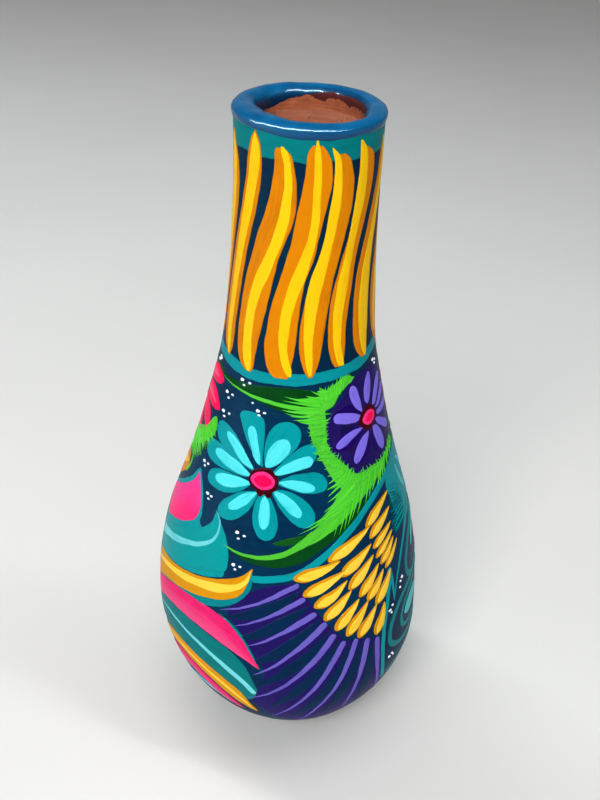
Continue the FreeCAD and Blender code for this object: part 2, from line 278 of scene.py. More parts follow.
def paint(name, base, dark, light, under=None, streak=1.0, thin=0.35, other=None):
    """Brushed acrylic under varnish. Streaks run along each stroke, the paint
    gets thin at its edges and where the brush lifts, and each stroke was mixed
    a little differently."""
    g = Graph(name)
    obj = g.node("ShaderNodeTexCoord").outputs["Object"]
    along, across, seed = g.sep(g.attr("brush").outputs["Vector"])
    edge = g.attr("edge").outputs["Fac"]
    rnd = g.math("MULTIPLY", seed, 37.0)
    hair = g.noise(g.comb(g.math("MULTIPLY", along, 0.055), g.math("MULTIPLY", across, 1.9), rnd), 1.0, 4.0, 0.62, 0.15)
    pool = g.noise(g.comb(g.math("MULTIPLY", along, 0.16), g.math("MULTIPLY", across, 0.35), rnd), 1.0, 2.0, 0.5)
    tone = g.math("ADD", g.math("MULTIPLY", hair, 0.62 * streak), g.math("MULTIPLY", pool, 0.38))
    tone = g.math("ADD", tone, g.math("MULTIPLY", g.math("SUBTRACT", seed, 0.5), 0.14))
    col = g.ramp(tone, [(0.26, lin(dark)), (0.46, lin(base)), (0.60, lin(base)), (0.78, lin(light))])
    if under is None:
        under = tuple(int(v * 0.55) for v in dark)
    frag = g.noise(obj, 620.0, 3.0, 0.65)
    if other is not None:
        # a second colour worked in wet along one side of the stroke
        side = g.attr("side").outputs["Fac"]
        wet = g.math("ADD", side, g.math("MULTIPLY", g.math("SUBTRACT", hair, 0.5), 0.55))
        col = g.mix(g.grey(wet, [(0.30, 0.0), (0.80, 0.85)]), col, lin(other))
    e = g.math("ADD", edge, g.math("MULTIPLY", g.math("SUBTRACT", frag, 0.5), 0.45))
    lift = g.grey(e, [(0.0, thin), (0.34, 0.0)])
    hole = g.grey(g.noise(g.comb(g.math("MULTIPLY", along, 0.3), g.math("MULTIPLY", across, 3.2), rnd), 1.0, 3.0, 0.6),
                  [(0.60, 0.0), (0.78, 0.16 * streak)])
    fac = g.math("MAXIMUM", lift, hole)
    col = g.mix(fac, col, lin(under))
    n = g.bump(g.math("ADD", g.math("MULTIPLY", hair, 0.8), g.math("MULTIPLY", frag, 0.2)), 0.35, 0.00012)
    rough = g.math("ADD", 0.34, g.math("MULTIPLY", hair, 0.16))
    return g.finish(col, rough, n, coat=0.15, coat_rough=0.06, coat_normal=varnish(g, obj), spec=0.02)
CLAY_TONES = ((120, 62, 36), (163, 92, 57), (185, 112, 74), (210, 145, 104))


def ground_paint():
    """The blue-black ground brushed over the whole outside before the figures."""
    g = Graph("paint_ground_navy")
    obj = g.node("ShaderNodeTexCoord").outputs["Object"]
    x, y, z = g.sep(obj)
    th = g.math("ARCTAN2", x, g.math("MULTIPLY", y, -1.0))
    # Brush marks wander: mostly round the pot, some slanting up it.
    a = g.noise(g.comb(g.math("MULTIPLY", th, 2.2), g.math("MULTIPLY", z, 420.0), 0.0), 1.0, 4.0, 0.62, 0.4)
    b = g.noise(g.comb(g.math("ADD", g.math("MULTIPLY", th, 9.0), g.math("MULTIPLY", z, 130.0)), g.math("MULTIPLY", z, 60.0), 3.0), 1.0, 3.0, 0.6, 0.6)
    big = g.noise(obj, 26.0, 2.0, 0.5)
    t = g.math("ADD", g.math("ADD", g.math("MULTIPLY", a, 0.35), g.math("MULTIPLY", b, 0.25)), g.math("MULTIPLY", big, 0.4))
    col = g.ramp(t, [(0.30, lin((0, 36, 64))), (0.46, lin((0, 49, 80))), (0.60, lin((1, 58, 90))), (0.76, lin((3, 74, 96)))])
    # painted shade: the ground is darker on the neck
    col = g.mix(g.grey(g.math("MULTIPLY", z, 4.0), [(0.645, 0.0), (0.68, 0.45)]), col, lin((4, 34, 52)))
    n = g.bump(a, 0.35, 0.00014)
    rough = g.math("ADD", 0.36, g.math("MULTIPLY", a, 0.14))
    return g.finish(col, rough, n, coat=0.15, coat_rough=0.06, coat_normal=varnish(g, obj), spec=0.02)


def bare_clay(name, foot=False):
    """Low-fired red clay: fine sand, wiping marks, small pits and dust."""
    g = Graph(name)
    obj = g.node("ShaderNodeTexCoord").outputs["Object"]
    x, y, z = g.sep(obj)
    th = g.math("ARCTAN2", x, g.math("MULTIPLY", y, -1.0))
    rings = g.noise(g.comb(g.math("MULTIPLY", th, 1.1), g.math("MULTIPLY", z, 1500.0), 0.0), 1.0, 4.0, 0.65, 0.5)
    if foot:
        rad = g.math("SQRT", g.math("ADD", g.math("MULTIPLY", x, x), g.math("MULTIPLY", y, y)))
        rings = g.noise(g.comb(g.math("MULTIPLY", x, 260.0), g.math("MULTIPLY", y, 900.0), 0.0), 1.0, 4.0, 0.65, 0.6)
    sand = g.noise(obj, 1500.0, 3.0, 0.7)
    blot = g.noise(obj, 70.0, 3.0, 0.55)
    t = g.math("ADD", g.math("ADD", g.math("MULTIPLY", rings, 0.42), g.math("MULTIPLY", sand, 0.23)), g.math("MULTIPLY", blot, 0.35))
    col = g.ramp(t, [(0.28, lin(CLAY_TONES[0])), (0.44, lin(CLAY_TONES[1])), (0.56, lin(CLAY_TONES[2])), (0.74, lin(CLAY_TONES[3]))])
    pits = g.node("ShaderNodeTexVoronoi", feature="F1")
    g.put(pits.inputs["Vector"], obj)
    pits.inputs["Scale"].default_value = 420.0
    pit = g.grey(pits.outputs["Distance"], [(0.06, 1.0), (0.16, 0.0)])
    col = g.mix(g.math("MULTIPLY", pit, 0.55), col, lin((96, 50, 36)))
    h = g.math("SUBTRACT", g.math("ADD", g.math("MULTIPLY", rings, 0.7), g.math("MULTIPLY", sand, 0.3)), g.math("MULTIPLY", pit, 0.5))
    n = g.bump(h, 0.7, 0.0003)
    rough = g.math("ADD", 0.82, g.math("MULTIPLY", sand, 0.12))
    coat = 0.0
    if foot:
        # The ground colour laps under the foot with a ragged edge.
        rag = g.noise(g.comb(g.math("MULTIPLY", th, 6.0), 0.0, 3.0), 1.0, 4.0, 0.65, 0.3)
        lim = g.math("ADD", 0.0215, g.math("MULTIPLY", rag, 0.006))
        over = g.grey(g.math("MULTIPLY", g.math("SUBTRACT", rad, lim), 2600.0), [(0.0, 0.0), (1.0, 1.0)])
        over = g.math("MULTIPLY", over, g.grey(g.math("MULTIPLY", z, 250.0), [(0.5, 1.0), (0.6, 0.0)]))
        col = g.mix(over, col, lin((2, 40, 66)))
        rough = g.math("SUBTRACT", rough, g.math("MULTIPLY", over, 0.45))
    return g.finish(col, rough, n, spec=0.3)


def lip_paint():
    """The blue of the lip, thick and glossy, and below its ragged inner edge
    the clay of the bore, with a painted shadow of the lip on part of it."""
    g = Graph("paint_lip_blue")
    obj = g.node("ShaderNodeTexCoord").outputs["Object"]
    x, y, z = g.sep(obj)
    th = g.math("ARCTAN2", x, g.math("MULTIPLY", y, -1.0))
    zz = g.math("MULTIPLY", z, 1000.0)
    a = g.noise(g.comb(g.math("MULTIPLY", th, 3.0), g.math("MULTIPLY", z, 700.0), 0.0), 1.0, 4.0, 0.6, 0.5)
    big = g.noise(obj, 75.0, 3.0, 0.55)
    t = g.math("ADD", g.math("MULTIPLY", a, 0.5), g.math("MULTIPLY", big, 0.5))
    blue = g.ramp(t, [(0.30, lin((0, 74, 116))), (0.45, lin((0, 90, 134))), (0.60, lin((4, 100, 146))), (0.76, lin((20, 116, 158)))])
    # painted shade: the blue is darkened low on the lip's outside and down inside the mouth, where shade falls
    low_shade = g.math("SUBTRACT", zz, 244.8)
    blue = g.mix(g.grey(g.math("DIVIDE", low_shade, 4.0), [(0.0, 0.85), (0.3, 0.6), (0.9, 0.0)]), blue, lin((0, 50, 92)))
    frag = g.noise(obj, 900.0, 4.0, 0.65)
    jag = g.math("MULTIPLY", g.math("SUBTRACT", frag, 0.5), 0.5)
    under = g.math("ADD", g.attr("under").outputs["Fac"], jag)
    lip_shadow = g.math("ADD", g.attr("lip_shadow").outputs["Fac"], jag)
    rings = g.noise(g.comb(g.math("MULTIPLY", th, 1.1), g.math("MULTIPLY", z, 1500.0), 0.0), 1.0, 4.0, 0.65, 0.5)
    sand = g.noise(obj, 1500.0, 3.0, 0.7)
    ct = g.math("ADD", g.math("ADD", g.math("MULTIPLY", rings, 0.42), g.math("MULTIPLY", sand, 0.23)), g.math("MULTIPLY", big, 0.35))
    clay = g.ramp(ct, [(0.28, lin(CLAY_TONES[0])), (0.44, lin(CLAY_TONES[1])), (0.56, lin(CLAY_TONES[2])), (0.74, lin(CLAY_TONES[3]))])
    # painted shadow: the clay turns dark red-brown where the lip's cast shadow falls inside the mouth
    clay = g.mix(g.math("MULTIPLY", g.grey(g.math("MULTIPLY", g.math("ADD", lip_shadow, 0.15), 3.0), [(0.0, 0.0), (1.0, 1.0)]), 0.96), clay, lin((84, 18, 16)))
    is_blue = g.grey(g.math("MULTIPLY", g.math("ADD", under, 0.1), 5.0), [(0.0, 0.0), (1.0, 1.0)])
    # painted shade: the blue darkens towards its lower edge inside the mouth
    bore_shade = g.grey(g.math("DIVIDE", under, 4.0), [(0.0, 0.85), (0.14, 0.45), (0.8, 0.25), (1.0, 0.0)])
    blue = g.mix(bore_shade, blue, lin((4, 34, 66)))
    col = g.mix(is_blue, clay, blue)
    n = g.bump(g.math("ADD", g.math("MULTIPLY", rings, 0.5), g.math("MULTIPLY", sand, 0.5)), g.math("SUBTRACT", 0.75, g.math("MULTIPLY", is_blue, 0.6)), 0.0003)
    wave = g.noise(obj, 90.0, 2.0, 0.5)
    cn = g.bump(wave, 0.30, 0.0006)
    rough = g.math("SUBTRACT", 0.85, g.math("MULTIPLY", is_blue, 0.5))
    m = g.finish(col, rough, n, coat=1.0, coat_rough=0.035, coat_normal=cn, spec=0.1, coat_ior=1.5)
    b = [q for q in g.t.nodes if q.type == "BSDF_PRINCIPLED"][0]
    shine = g.grey(g.math("DIVIDE", under, 10.0), [(0.0, 0.0), (0.02, 0.34), (0.5, 0.36), (0.62, 0.4)])
    g.t.links.new(shine, b.inputs["Coat Weight"])
    return m


# ---------------------------------------------------------------- clay pieces
def link(o):
    bpy.context.scene.collection.objects.link(o)
    return o


def section(name, loop, mats, outer, turns, pole=False):
    """A ring (or, with poles, a disc) of clay: a loop of (radius, height) points
    turned round the axis. outer says for each stretch which material it gets."""
    loop = [tuple(p) for p in loop]
    n = len(loop)
    th = np.arange(turns) * (2 * math.pi / turns)
    L = np.array(loop)
    rad = np.repeat(L[:, 0][:, None], turns, 1)
    zz = np.repeat(L[:, 1][:, None], turns, 1)
    x, y, z = warp(rad * np.sin(th), -rad * np.cos(th), zz)
    V = (np.stack([x, y, z], -1) * MM)
    seg = np.hypot(np.diff(np.append(L[:, 0], L[0, 0])), np.diff(np.append(L[:, 1], L[0, 1])))
    vv = np.concatenate([[0], np.cumsum(seg)])
    vv /= vv[-1]
    verts, faces, mat_of, uvs = [], [], [], []
    idx = np.zeros((n, turns), int)
    for i in range(n):
        if loop[i][0] < 1e-6:
            verts.append(V[i, 0])
            idx[i, :] = len(verts) - 1
        else:
            for j in range(turns):
                verts.append(V[i, j])
                idx[i, j] = len(verts) - 1
    last = n - 1 if pole else n
    for i in range(last):
        k = (i + 1) % n
        for j in range(turns):
            m = (j + 1) % turns
            q = [idx[i, j], idx[i, m], idx[k, m], idx[k, j]]
            u = [(j / turns, vv[i]), ((j + 1) / turns, vv[i]), ((j + 1) / turns, vv[i + 1]), (j / turns, vv[i + 1])]
            if q[0] == q[1]:
                q, u = [q[0], q[2], q[3]], [u[0], u[2], u[3]]
            elif q[2] == q[3]:
                q, u = [q[0], q[1], q[2]], [u[0], u[1], u[2]]
            faces.append(q)
            uvs.extend(u)
            mat_of.append(outer[i])
    me = bpy.data.meshes.new(name)
    me.from_pydata([tuple(v) for v in verts], [], faces)
    uv = me.uv_layers.new(name="OFBake")
    uv.data.foreach_set("uv", np.array(uvs, dtype=np.float32).ravel())
    for m in mats:
        me.materials.append(m)
    me.polygons.foreach_set("material_index", mat_of)
    me.polygons.foreach_set("use_smooth", [True] * len(faces))
    # Corners of the section are sharp, so that its faces shade cleanly.
    import bmesh
    bm = bmesh.new()
    bm.from_mesh(me)
    bmesh.ops.recalc_face_normals(bm, faces=bm.faces)
    for e in bm.edges:
        if len(e.link_faces) == 2 and e.calc_face_angle(0.0) > math.radians(32):
            e.smooth = False
    bm.to_mesh(me)
    bm.free()
    return link(bpy.data.objects.new(name, me))


def run_pts(run, za, zb, step):
    n = max(2, int(abs(zb - za) / step) + 1)
    return [(run.at(z), z) for z in np.linspace(za, zb, n)]


NAVY = ground_paint()
CLAY = bare_clay("bare_clay")
CLAY_FOOT = bare_clay("bare_clay_foot", foot=True)
BLUE = lip_paint()
SEAT = 246.4      # the neck's end, under the lip
BORE = INN.at(242.2)


def clay_piece(name, node, parts, mats, turns, pole=False):
    """parts: a list of (points, material index of the stretch that starts at each)."""
    loop, outer = [], []
    for pts, m in parts:
        for p in pts:
            if loop and math.hypot(p[0] - loop[-1][0], p[1] - loop[-1][1]) < 1e-6:
                outer[-1] = m
                continue
            loop.append(p)
            outer.append(m)
    if not pole and math.hypot(loop[0][0] - loop[-1][0], loop[0][1] - loop[-1][1]) < 1e-6:
        loop.pop()
        outer.pop()
    o = section(name, loop, mats, outer, turns, pole)
    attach(o, "root")
    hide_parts(node)
    return o


foot_r = OUT.at(0.0)
fil = [(foot_r - 1.9 + 1.9 * math.sin(a), 1.45 - 1.45 * math.cos(a)) for a in np.linspace(0, math.radians(52), 7)]
edge_pts = [p for p in run_pts(OUT, 1.0, 5.0, 0.5) if p[1] > fil[-1][1] + 0.3]
slab = clay_piece("clay_base_slab", "base_slab", [
    ([(0.0, 0.0), (8.0, 0.0), (15.0, 0.0), (20.0, 0.0), (23.0, 0.0)] + fil, 1),
    (edge_pts, 0),
    ([(27.4, 5.0)], 1),
    ([(27.4, 8.0), (27.0, 8.3), (26.0, 8.45), (20.0, 8.3), (12.0, 8.1), (6.0, 8.2), (0.0, 8.15)], 1)],
    [NAVY, CLAY_FOOT], 240, pole=True)

zi = INN.c[0][1] - math.sqrt(INN.r[0] ** 2 - (27.4 - INN.c[0][0]) ** 2)
bowl = clay_piece("clay_lower_bowl", "lower_bowl", [
    (run_pts(OUT, 5.0, 50.0, 0.9), 0),
    ([(49.25, 50.0), (49.25, 56.0)], 1),
    (run_pts(INN, 56.0, zi, 2.2), 1),
    ([(27.4, 5.0), (OUT.at(5.0), 5.0)], 1)],
    [NAVY, CLAY], 288)

shoulder = clay_piece("clay_shoulder", "shoulder", [
    (run_pts(OUT, 50.0, 163.0, 0.95), 0),
    ([(24.7, 163.0), (24.7, 169.0)], 1),
    (run_pts(INN, 169.0, 56.0, 2.4), 1),
    ([(49.25, 56.0), (49.25, 50.0), (OUT.at(50.0), 50.0)], 1)],
    [NAVY, CLAY], 288)

neck = clay_piece("clay_neck_tube", "neck_tube", [
    (run_pts(OUT, 163.0, 245.0, 0.8), 0),
    ([(22.6, 245.0), (20.4, 243.7)], 1),
    (run_pts(INN, 242.2, 169.0, 0.8), 1),
    ([(24.7, 169.0), (24.7, 163.0), (OUT.at(163.0), 163.0)], 1)],
    [NAVY, CLAY], 240)


def curve(table, th):
    """A smooth closed curve through (angle, value) pairs, read at angles in degrees."""
    a = np.array([t[0] for t in table], float)
    b = np.array([t[1] for t in table], float)
    q = np.arange(-180, 180, 1.0)
    v = np.interp(q, np.concatenate([a - 360, a, a + 360]), np.concatenate([b, b, b]))
    for _ in range(50):
        v = (np.roll(v, 1) + 2 * v + np.roll(v, -1)) / 4
    th = np.mod(np.asarray(th) + 180, 360) - 180
    return np.interp(th, np.append(q, 180.0), np.append(v, v[0]))


# The mouth, by angle: how far in the lip reaches, the height of its lower edge,
# its crest, and how far down inside the blue and the painted shadow of the lip come.
LIP_IN = [(-150, 17.6), (-120, 17.6), (-95, 17.2), (-80, 15.9), (-64, 15.0), (-45, 15.1), (-31, 15.9), (-12, 17.6), (4, 18.6), (20, 19.3),
          (32, 20.2), (42, 20.9), (52, 20.2), (64, 18.6), (79, 17.4), (108, 17.3), (140, 17.6), (180, 17.6)]
LIP_LOW = [(-150, 245.6), (-90, 245.7), (-62, 245.95), (-42, 246.0), (-20, 245.5), (0, 245.1), (20, 245.15), (40, 245.45), (60, 245.35), (90, 245.6),
           (120, 245.4), (150, 245.7), (180, 245.5)]
LIP_TOP = [(-160, 250.1), (-120, 250.05), (-80, 250.1), (-45, 250.1), (-15, 249.85), (15, 249.5), (45, 249.2), (75, 249.5), (110, 249.8), (150, 249.9), (180, 249.95)]
BLUE_IN = [(-171, 246.7), (-162, 246.0), (-152, 245.4), (-142, 244.4), (-131, 243.6), (-118, 242.9), (-104, 242.8), (-88, 243.4), (-60, 246.0), (-20, 247.0), (20, 247.2),
           (60, 247.4), (85, 247.8), (108, 248.1), (128, 248.15), (141, 248.2), (152, 248.2), (167, 248.1), (180, 247.4)]
SHADOW_IN = [(-180, 246.6), (-175, 248.5), (-150, 250.5), (-40, 250.5), (60, 248.6), (85, 246.6), (100, 245.6), (113, 245.2), (122, 245.9), (128, 245.3), (141, 245.9), (147, 246.3), (152, 245.7), (161, 246.5), (169, 245.7), (174, 244.9)]


def rag(th, seed, amp):
    r = random.Random(seed)
    v = np.zeros(len(np.atleast_1d(th)))
    for k in (9, 14, 23, 37, 61, 97):
        v = v + amp * (9.0 / k) ** 0.55 * np.sin(np.radians(th) * k + r.uniform(0, 6.28))
    return v


def lip():
    """The lip: an uneven roll, thumbed down over the neck's end. Its inner side
    runs straight into the bore, where the blue stops at a ragged edge."""
    turns = 540
    deg = np.arange(turns) * 360.0 / turns - 180.0
    r_in, z_lo, z_up = curve(LIP_IN, deg), curve(LIP_LOW, deg), curve(LIP_TOP, deg)
    r_in = r_in + 0.12 * np.sin(np.radians(deg) * 13 + 0.3) + 0.08 * np.sin(np.radians(deg) * 7 + 2.1)
    z_lo = z_lo + 0.07 * np.sin(np.radians(deg) * 11 + 1.0) + 0.05 * np.sin(np.radians(deg) * 19)
    z_up = z_up + 0.06 * np.sin(np.radians(deg) * 9 + 0.5) + 0.035 * np.sin(np.radians(deg) * 16 + 2.0)
    r_out = 24.62 + 0.05 * np.sin(np.radians(deg) * 5 + 1.0) + 0.04 * np.sin(np.radians(deg) * 12)
    blue = curve(BLUE_IN, deg) + rag(deg, 4, 0.13)
    # painted shadow: the lower edge of the lip's shadow on the clay inside the mouth
    shadow_edge = curve(SHADOW_IN, deg) + rag(deg, 9, 0.34)
    V, under, lip_shadow = [], [], []
    for i in range(turns):
        ro, ri, zt, zl = r_out[i], r_in[i], z_up[i], z_lo[i]
        ao = 3.35
        rc, zm, zi = ro - ao, zl + 2.15, 246.9
        seat = float(OUT.at(zl)) - 0.02
        pts = []
        for t in np.linspace(1, 0, 9):                       # lower outside, up from the seat
            pts.append((ro - (ro - seat) * (1 - math.sqrt(1 - t * t)), zm - (zm - zl) * t, 9.0, 9.0))
        for a in np.linspace(0, math.pi / 2, 15)[1:]:        # up to the crest
            pts.append((rc + ao * math.cos(a), zm + (zt - zm) * math.sin(a), 9.0, 9.0))
        for a in np.linspace(math.pi / 2, 0, 17)[1:]:        # over it and down into the mouth
            r, z = rc - (rc - ri) * math.cos(a), zi + (zt - zi) * math.sin(a) ** 1.0
            pts.append((r, z, (z - blue[i]) if a < 1.0 else 9.0, z - shadow_edge[i]))
        for t in np.linspace(0, 1, 11)[1:]:                  # down the bore
            k = t * t * (3 - 2 * t)
            z = zi + (242.2 - zi) * t
            pts.append((ri + (BORE - ri) * k, z, z - blue[i], z - shadow_edge[i]))
        pts.append((20.6, 243.9, -9.0, -9.0))
        pts.append((seat - 0.6, zl - 0.1, -9.0, -9.0))
        for r, z, u, d in pts:
            V.append((r, z, deg[i]))
            under.append(u)
            lip_shadow.append(d)
    m = len(V) // turns
    V = np.array(V)
    th = np.radians(V[:, 2])
    small = 0.03 * np.sin(17 * th + V[:, 1] * 1.3) + 0.02 * np.sin(31 * th - V[:, 1])
    rad = V[:, 0] + small
    X, Y, Z = warp(rad * np.sin(th), -rad * np.cos(th), V[:, 1])
    P = np.stack([X, Y, Z], -1) * MM
    faces, uvs = [], []
    for i in range(turns):
        k = (i + 1) % turns
        for j in range(m):
            n = (j + 1) % m
            faces.append((i * m + j, k * m + j, k * m + n, i * m + n))
            uvs.extend([(i / turns, j / m), ((i + 1) / turns, j / m), ((i + 1) / turns, (j + 1) / m), (i / turns, (j + 1) / m)])
    me = bpy.data.meshes.new("clay_rim_coil")
    me.from_pydata([tuple(p) for p in P], [], faces)
    me.uv_layers.new(name="OFBake").data.foreach_set("uv", np.array(uvs, dtype=np.float32).ravel())
    me.attributes.new("under", "FLOAT", "POINT").data.foreach_set("value", np.array(under, dtype=np.float32))
    me.attributes.new("lip_shadow", "FLOAT", "POINT").data.foreach_set("value", np.array(lip_shadow, dtype=np.float32))
    me.materials.append(BLUE)
    me.polygons.foreach_set("use_smooth", [True] * len(faces))
    import bmesh
    bm = bmesh.new()
    bm.from_mesh(me)
    bmesh.ops.recalc_face_normals(bm, faces=bm.faces)
    for e in bm.edges:
        if e.calc_face_angle(0.0) > math.radians(50):
            e.smooth = False
    bm.to_mesh(me)
    bm.free()
    o = link(bpy.data.objects.new("clay_rim_coil", me))
    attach(o, "root")
    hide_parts("rim_coil")
    return o


rim = lip()


# ---------------------------------------------------------------- brushwork
RND = random.Random(7)
EDGE = [0.0, 0.05, 0.13, 0.26]           # mm in from a stroke's edge
ROLL = 0.26


def spline(pts, closed, per=14):
    """A smooth line through the points (centripetal Catmull-Rom)."""
    P = [np.array(p, float) for p in pts]
    n = len(P)
    if n < 3 and not closed:
        return np.array([P[0] + (P[-1] - P[0]) * t for t in np.linspace(0, 1, per * 2)])
    out = []
    for i in range(n if closed else n - 1):
        if closed:
            p0, p1, p2, p3 = P[(i - 1) % n], P[i], P[(i + 1) % n], P[(i + 2) % n]
        else:
            p1, p2 = P[i], P[i + 1]
            p0 = P[i - 1] if i else 2 * p1 - p2
            p3 = P[i + 2] if i + 2 < n else 2 * p2 - p1
        w = np.array([r_of(p1[1]) * math.pi / 180, 1.0])
        d = [max(float(np.linalg.norm((b - a) * w)) ** 0.5, 1e-4) for a, b in ((p0, p1), (p1, p2), (p2, p3))]
        t1 = d[0]
        t2 = t1 + d[1]
        t3 = t2 + d[2]
        for k in range(per):
            t = t1 + (t2 - t1) * k / per
            a1 = (t1 - t) / t1 * p0 + t / t1 * p1
            a2 = (t2 - t) / (t2 - t1) * p1 + (t - t1) / (t2 - t1) * p2
            a3 = (t3 - t) / (t3 - t2) * p2 + (t - t2) / (t3 - t2) * p3
            b1 = (t2 - t) / t2 * a1 + t / t2 * a2
            b2 = (t3 - t) / (t3 - t1) * a2 + (t - t1) / (t3 - t1) * a3
            out.append((t2 - t) / (t2 - t1) * b1 + (t - t1) / (t2 - t1) * b2)
    if not closed:
        out.append(P[-1])
    return np.array(out)


def lengths(line):
    """Running length in mm along a line of (angle, height) points."""
    m = (line[1:] + line[:-1]) / 2
    du = np.diff(line[:, 0]) * np.pi / 180 * r_of(m[:, 1])
    dv = np.diff(s_of(line[:, 1]))
    return np.concatenate([[0.0], np.cumsum(np.hypot(du, dv))])


def resample(line, fr):
    L = lengths(line)
    t = np.asarray(fr) * L[-1]
    return np.stack([np.interp(t, L, line[:, 0]), np.interp(t, L, line[:, 1])], -1)


def gap(a, b):
    du = (a[:, 0] - b[:, 0]) * np.pi / 180 * r_of((a[:, 1] + b[:, 1]) / 2)
    return np.hypot(du, s_of(a[:, 1]) - s_of(b[:, 1]))


def stations(total):
    """Fractions along a stroke: close together at both ends, about 0.8 mm between."""
    e = [d for d in (0.0, 0.05, 0.14, 0.3, 0.6) if d < total * 0.25]
    n = max(4, int((total - 2 * e[-1]) / 0.85))
    mid = np.linspace(e[-1], total - e[-1], n + 1)[1:-1]
    return np.concatenate([e, mid, [total - d for d in reversed(e)]]) / total


def profile(kind, w, total, t):
    """Half the width of a brush stroke at fractions t of its length."""
    h = w / 2
    d = t * total
    cap0 = np.sqrt(np.clip(1 - ((h * 0.9 - np.minimum(d, h * 0.9)) / (h * 0.9)) ** 2, 0, 1))
    e = total - d
    cap1 = np.sqrt(np.clip(1 - ((h * 0.9 - np.minimum(e, h * 0.9)) / (h * 0.9)) ** 2, 0, 1))
    if kind == "round":
        f = cap0 * cap1
    elif kind == "leaf":
        f = np.sin(np.pi * t) ** 0.75
    elif kind == "tear2":
        f = np.clip(t * 1.15, 0, 1) ** 0.65 * cap1
    elif kind == "fat":
        f = cap0 * np.clip(1 - t, 0, 1) ** 0.62 * (0.86 + 0.14 * np.sin(np.pi * np.clip(t * 2.2, 0, 1)))
    elif kind == "spike":
        f = (0.55 + 0.45 * np.clip(t / 0.2, 0, 1)) * np.clip(1 - t, 0, 1) ** 0.75
    elif kind == "curl":
        f = np.clip(t / 0.25, 0, 1) ** 0.7 * np.where(t < 0.25, 1.0, np.clip((1 - t) / 0.75, 0, 1) ** 0.6)
    else:                                  # feather
        f = np.where(t < 0.33, np.sin(np.pi / 2 * np.clip(t / 0.33, 0, 1)) ** 0.52, np.clip((1 - t) / 0.67, 0, 1) ** 0.66)
    return np.maximum(h * f, 0.012)


def wobble(line, amp, seed):
    """The small unsteadiness of a hand, sideways, in mm."""
    L = lengths(line)
    r = random.Random(seed)
    off = np.zeros(len(line))
    for wl, k in ((9.0, 1.0), (4.1, 0.6), (2.0, 0.35)):
        off += k * np.sin(2 * np.pi * L / wl * r.uniform(0.8, 1.2) + r.uniform(0, 6.28))
    d = np.gradient(line, axis=0)
    du = d[:, 0] * np.pi / 180 * r_of(line[:, 1])
    ds = d[:, 1]
    m = np.maximum(np.hypot(du, ds), 1e-6)
    off *= amp
    out = line.copy()
    out[:, 0] += (-ds / m) * off / (r_of(line[:, 1]) * np.pi / 180)
    out[:, 1] += (du / m) * off
    return out


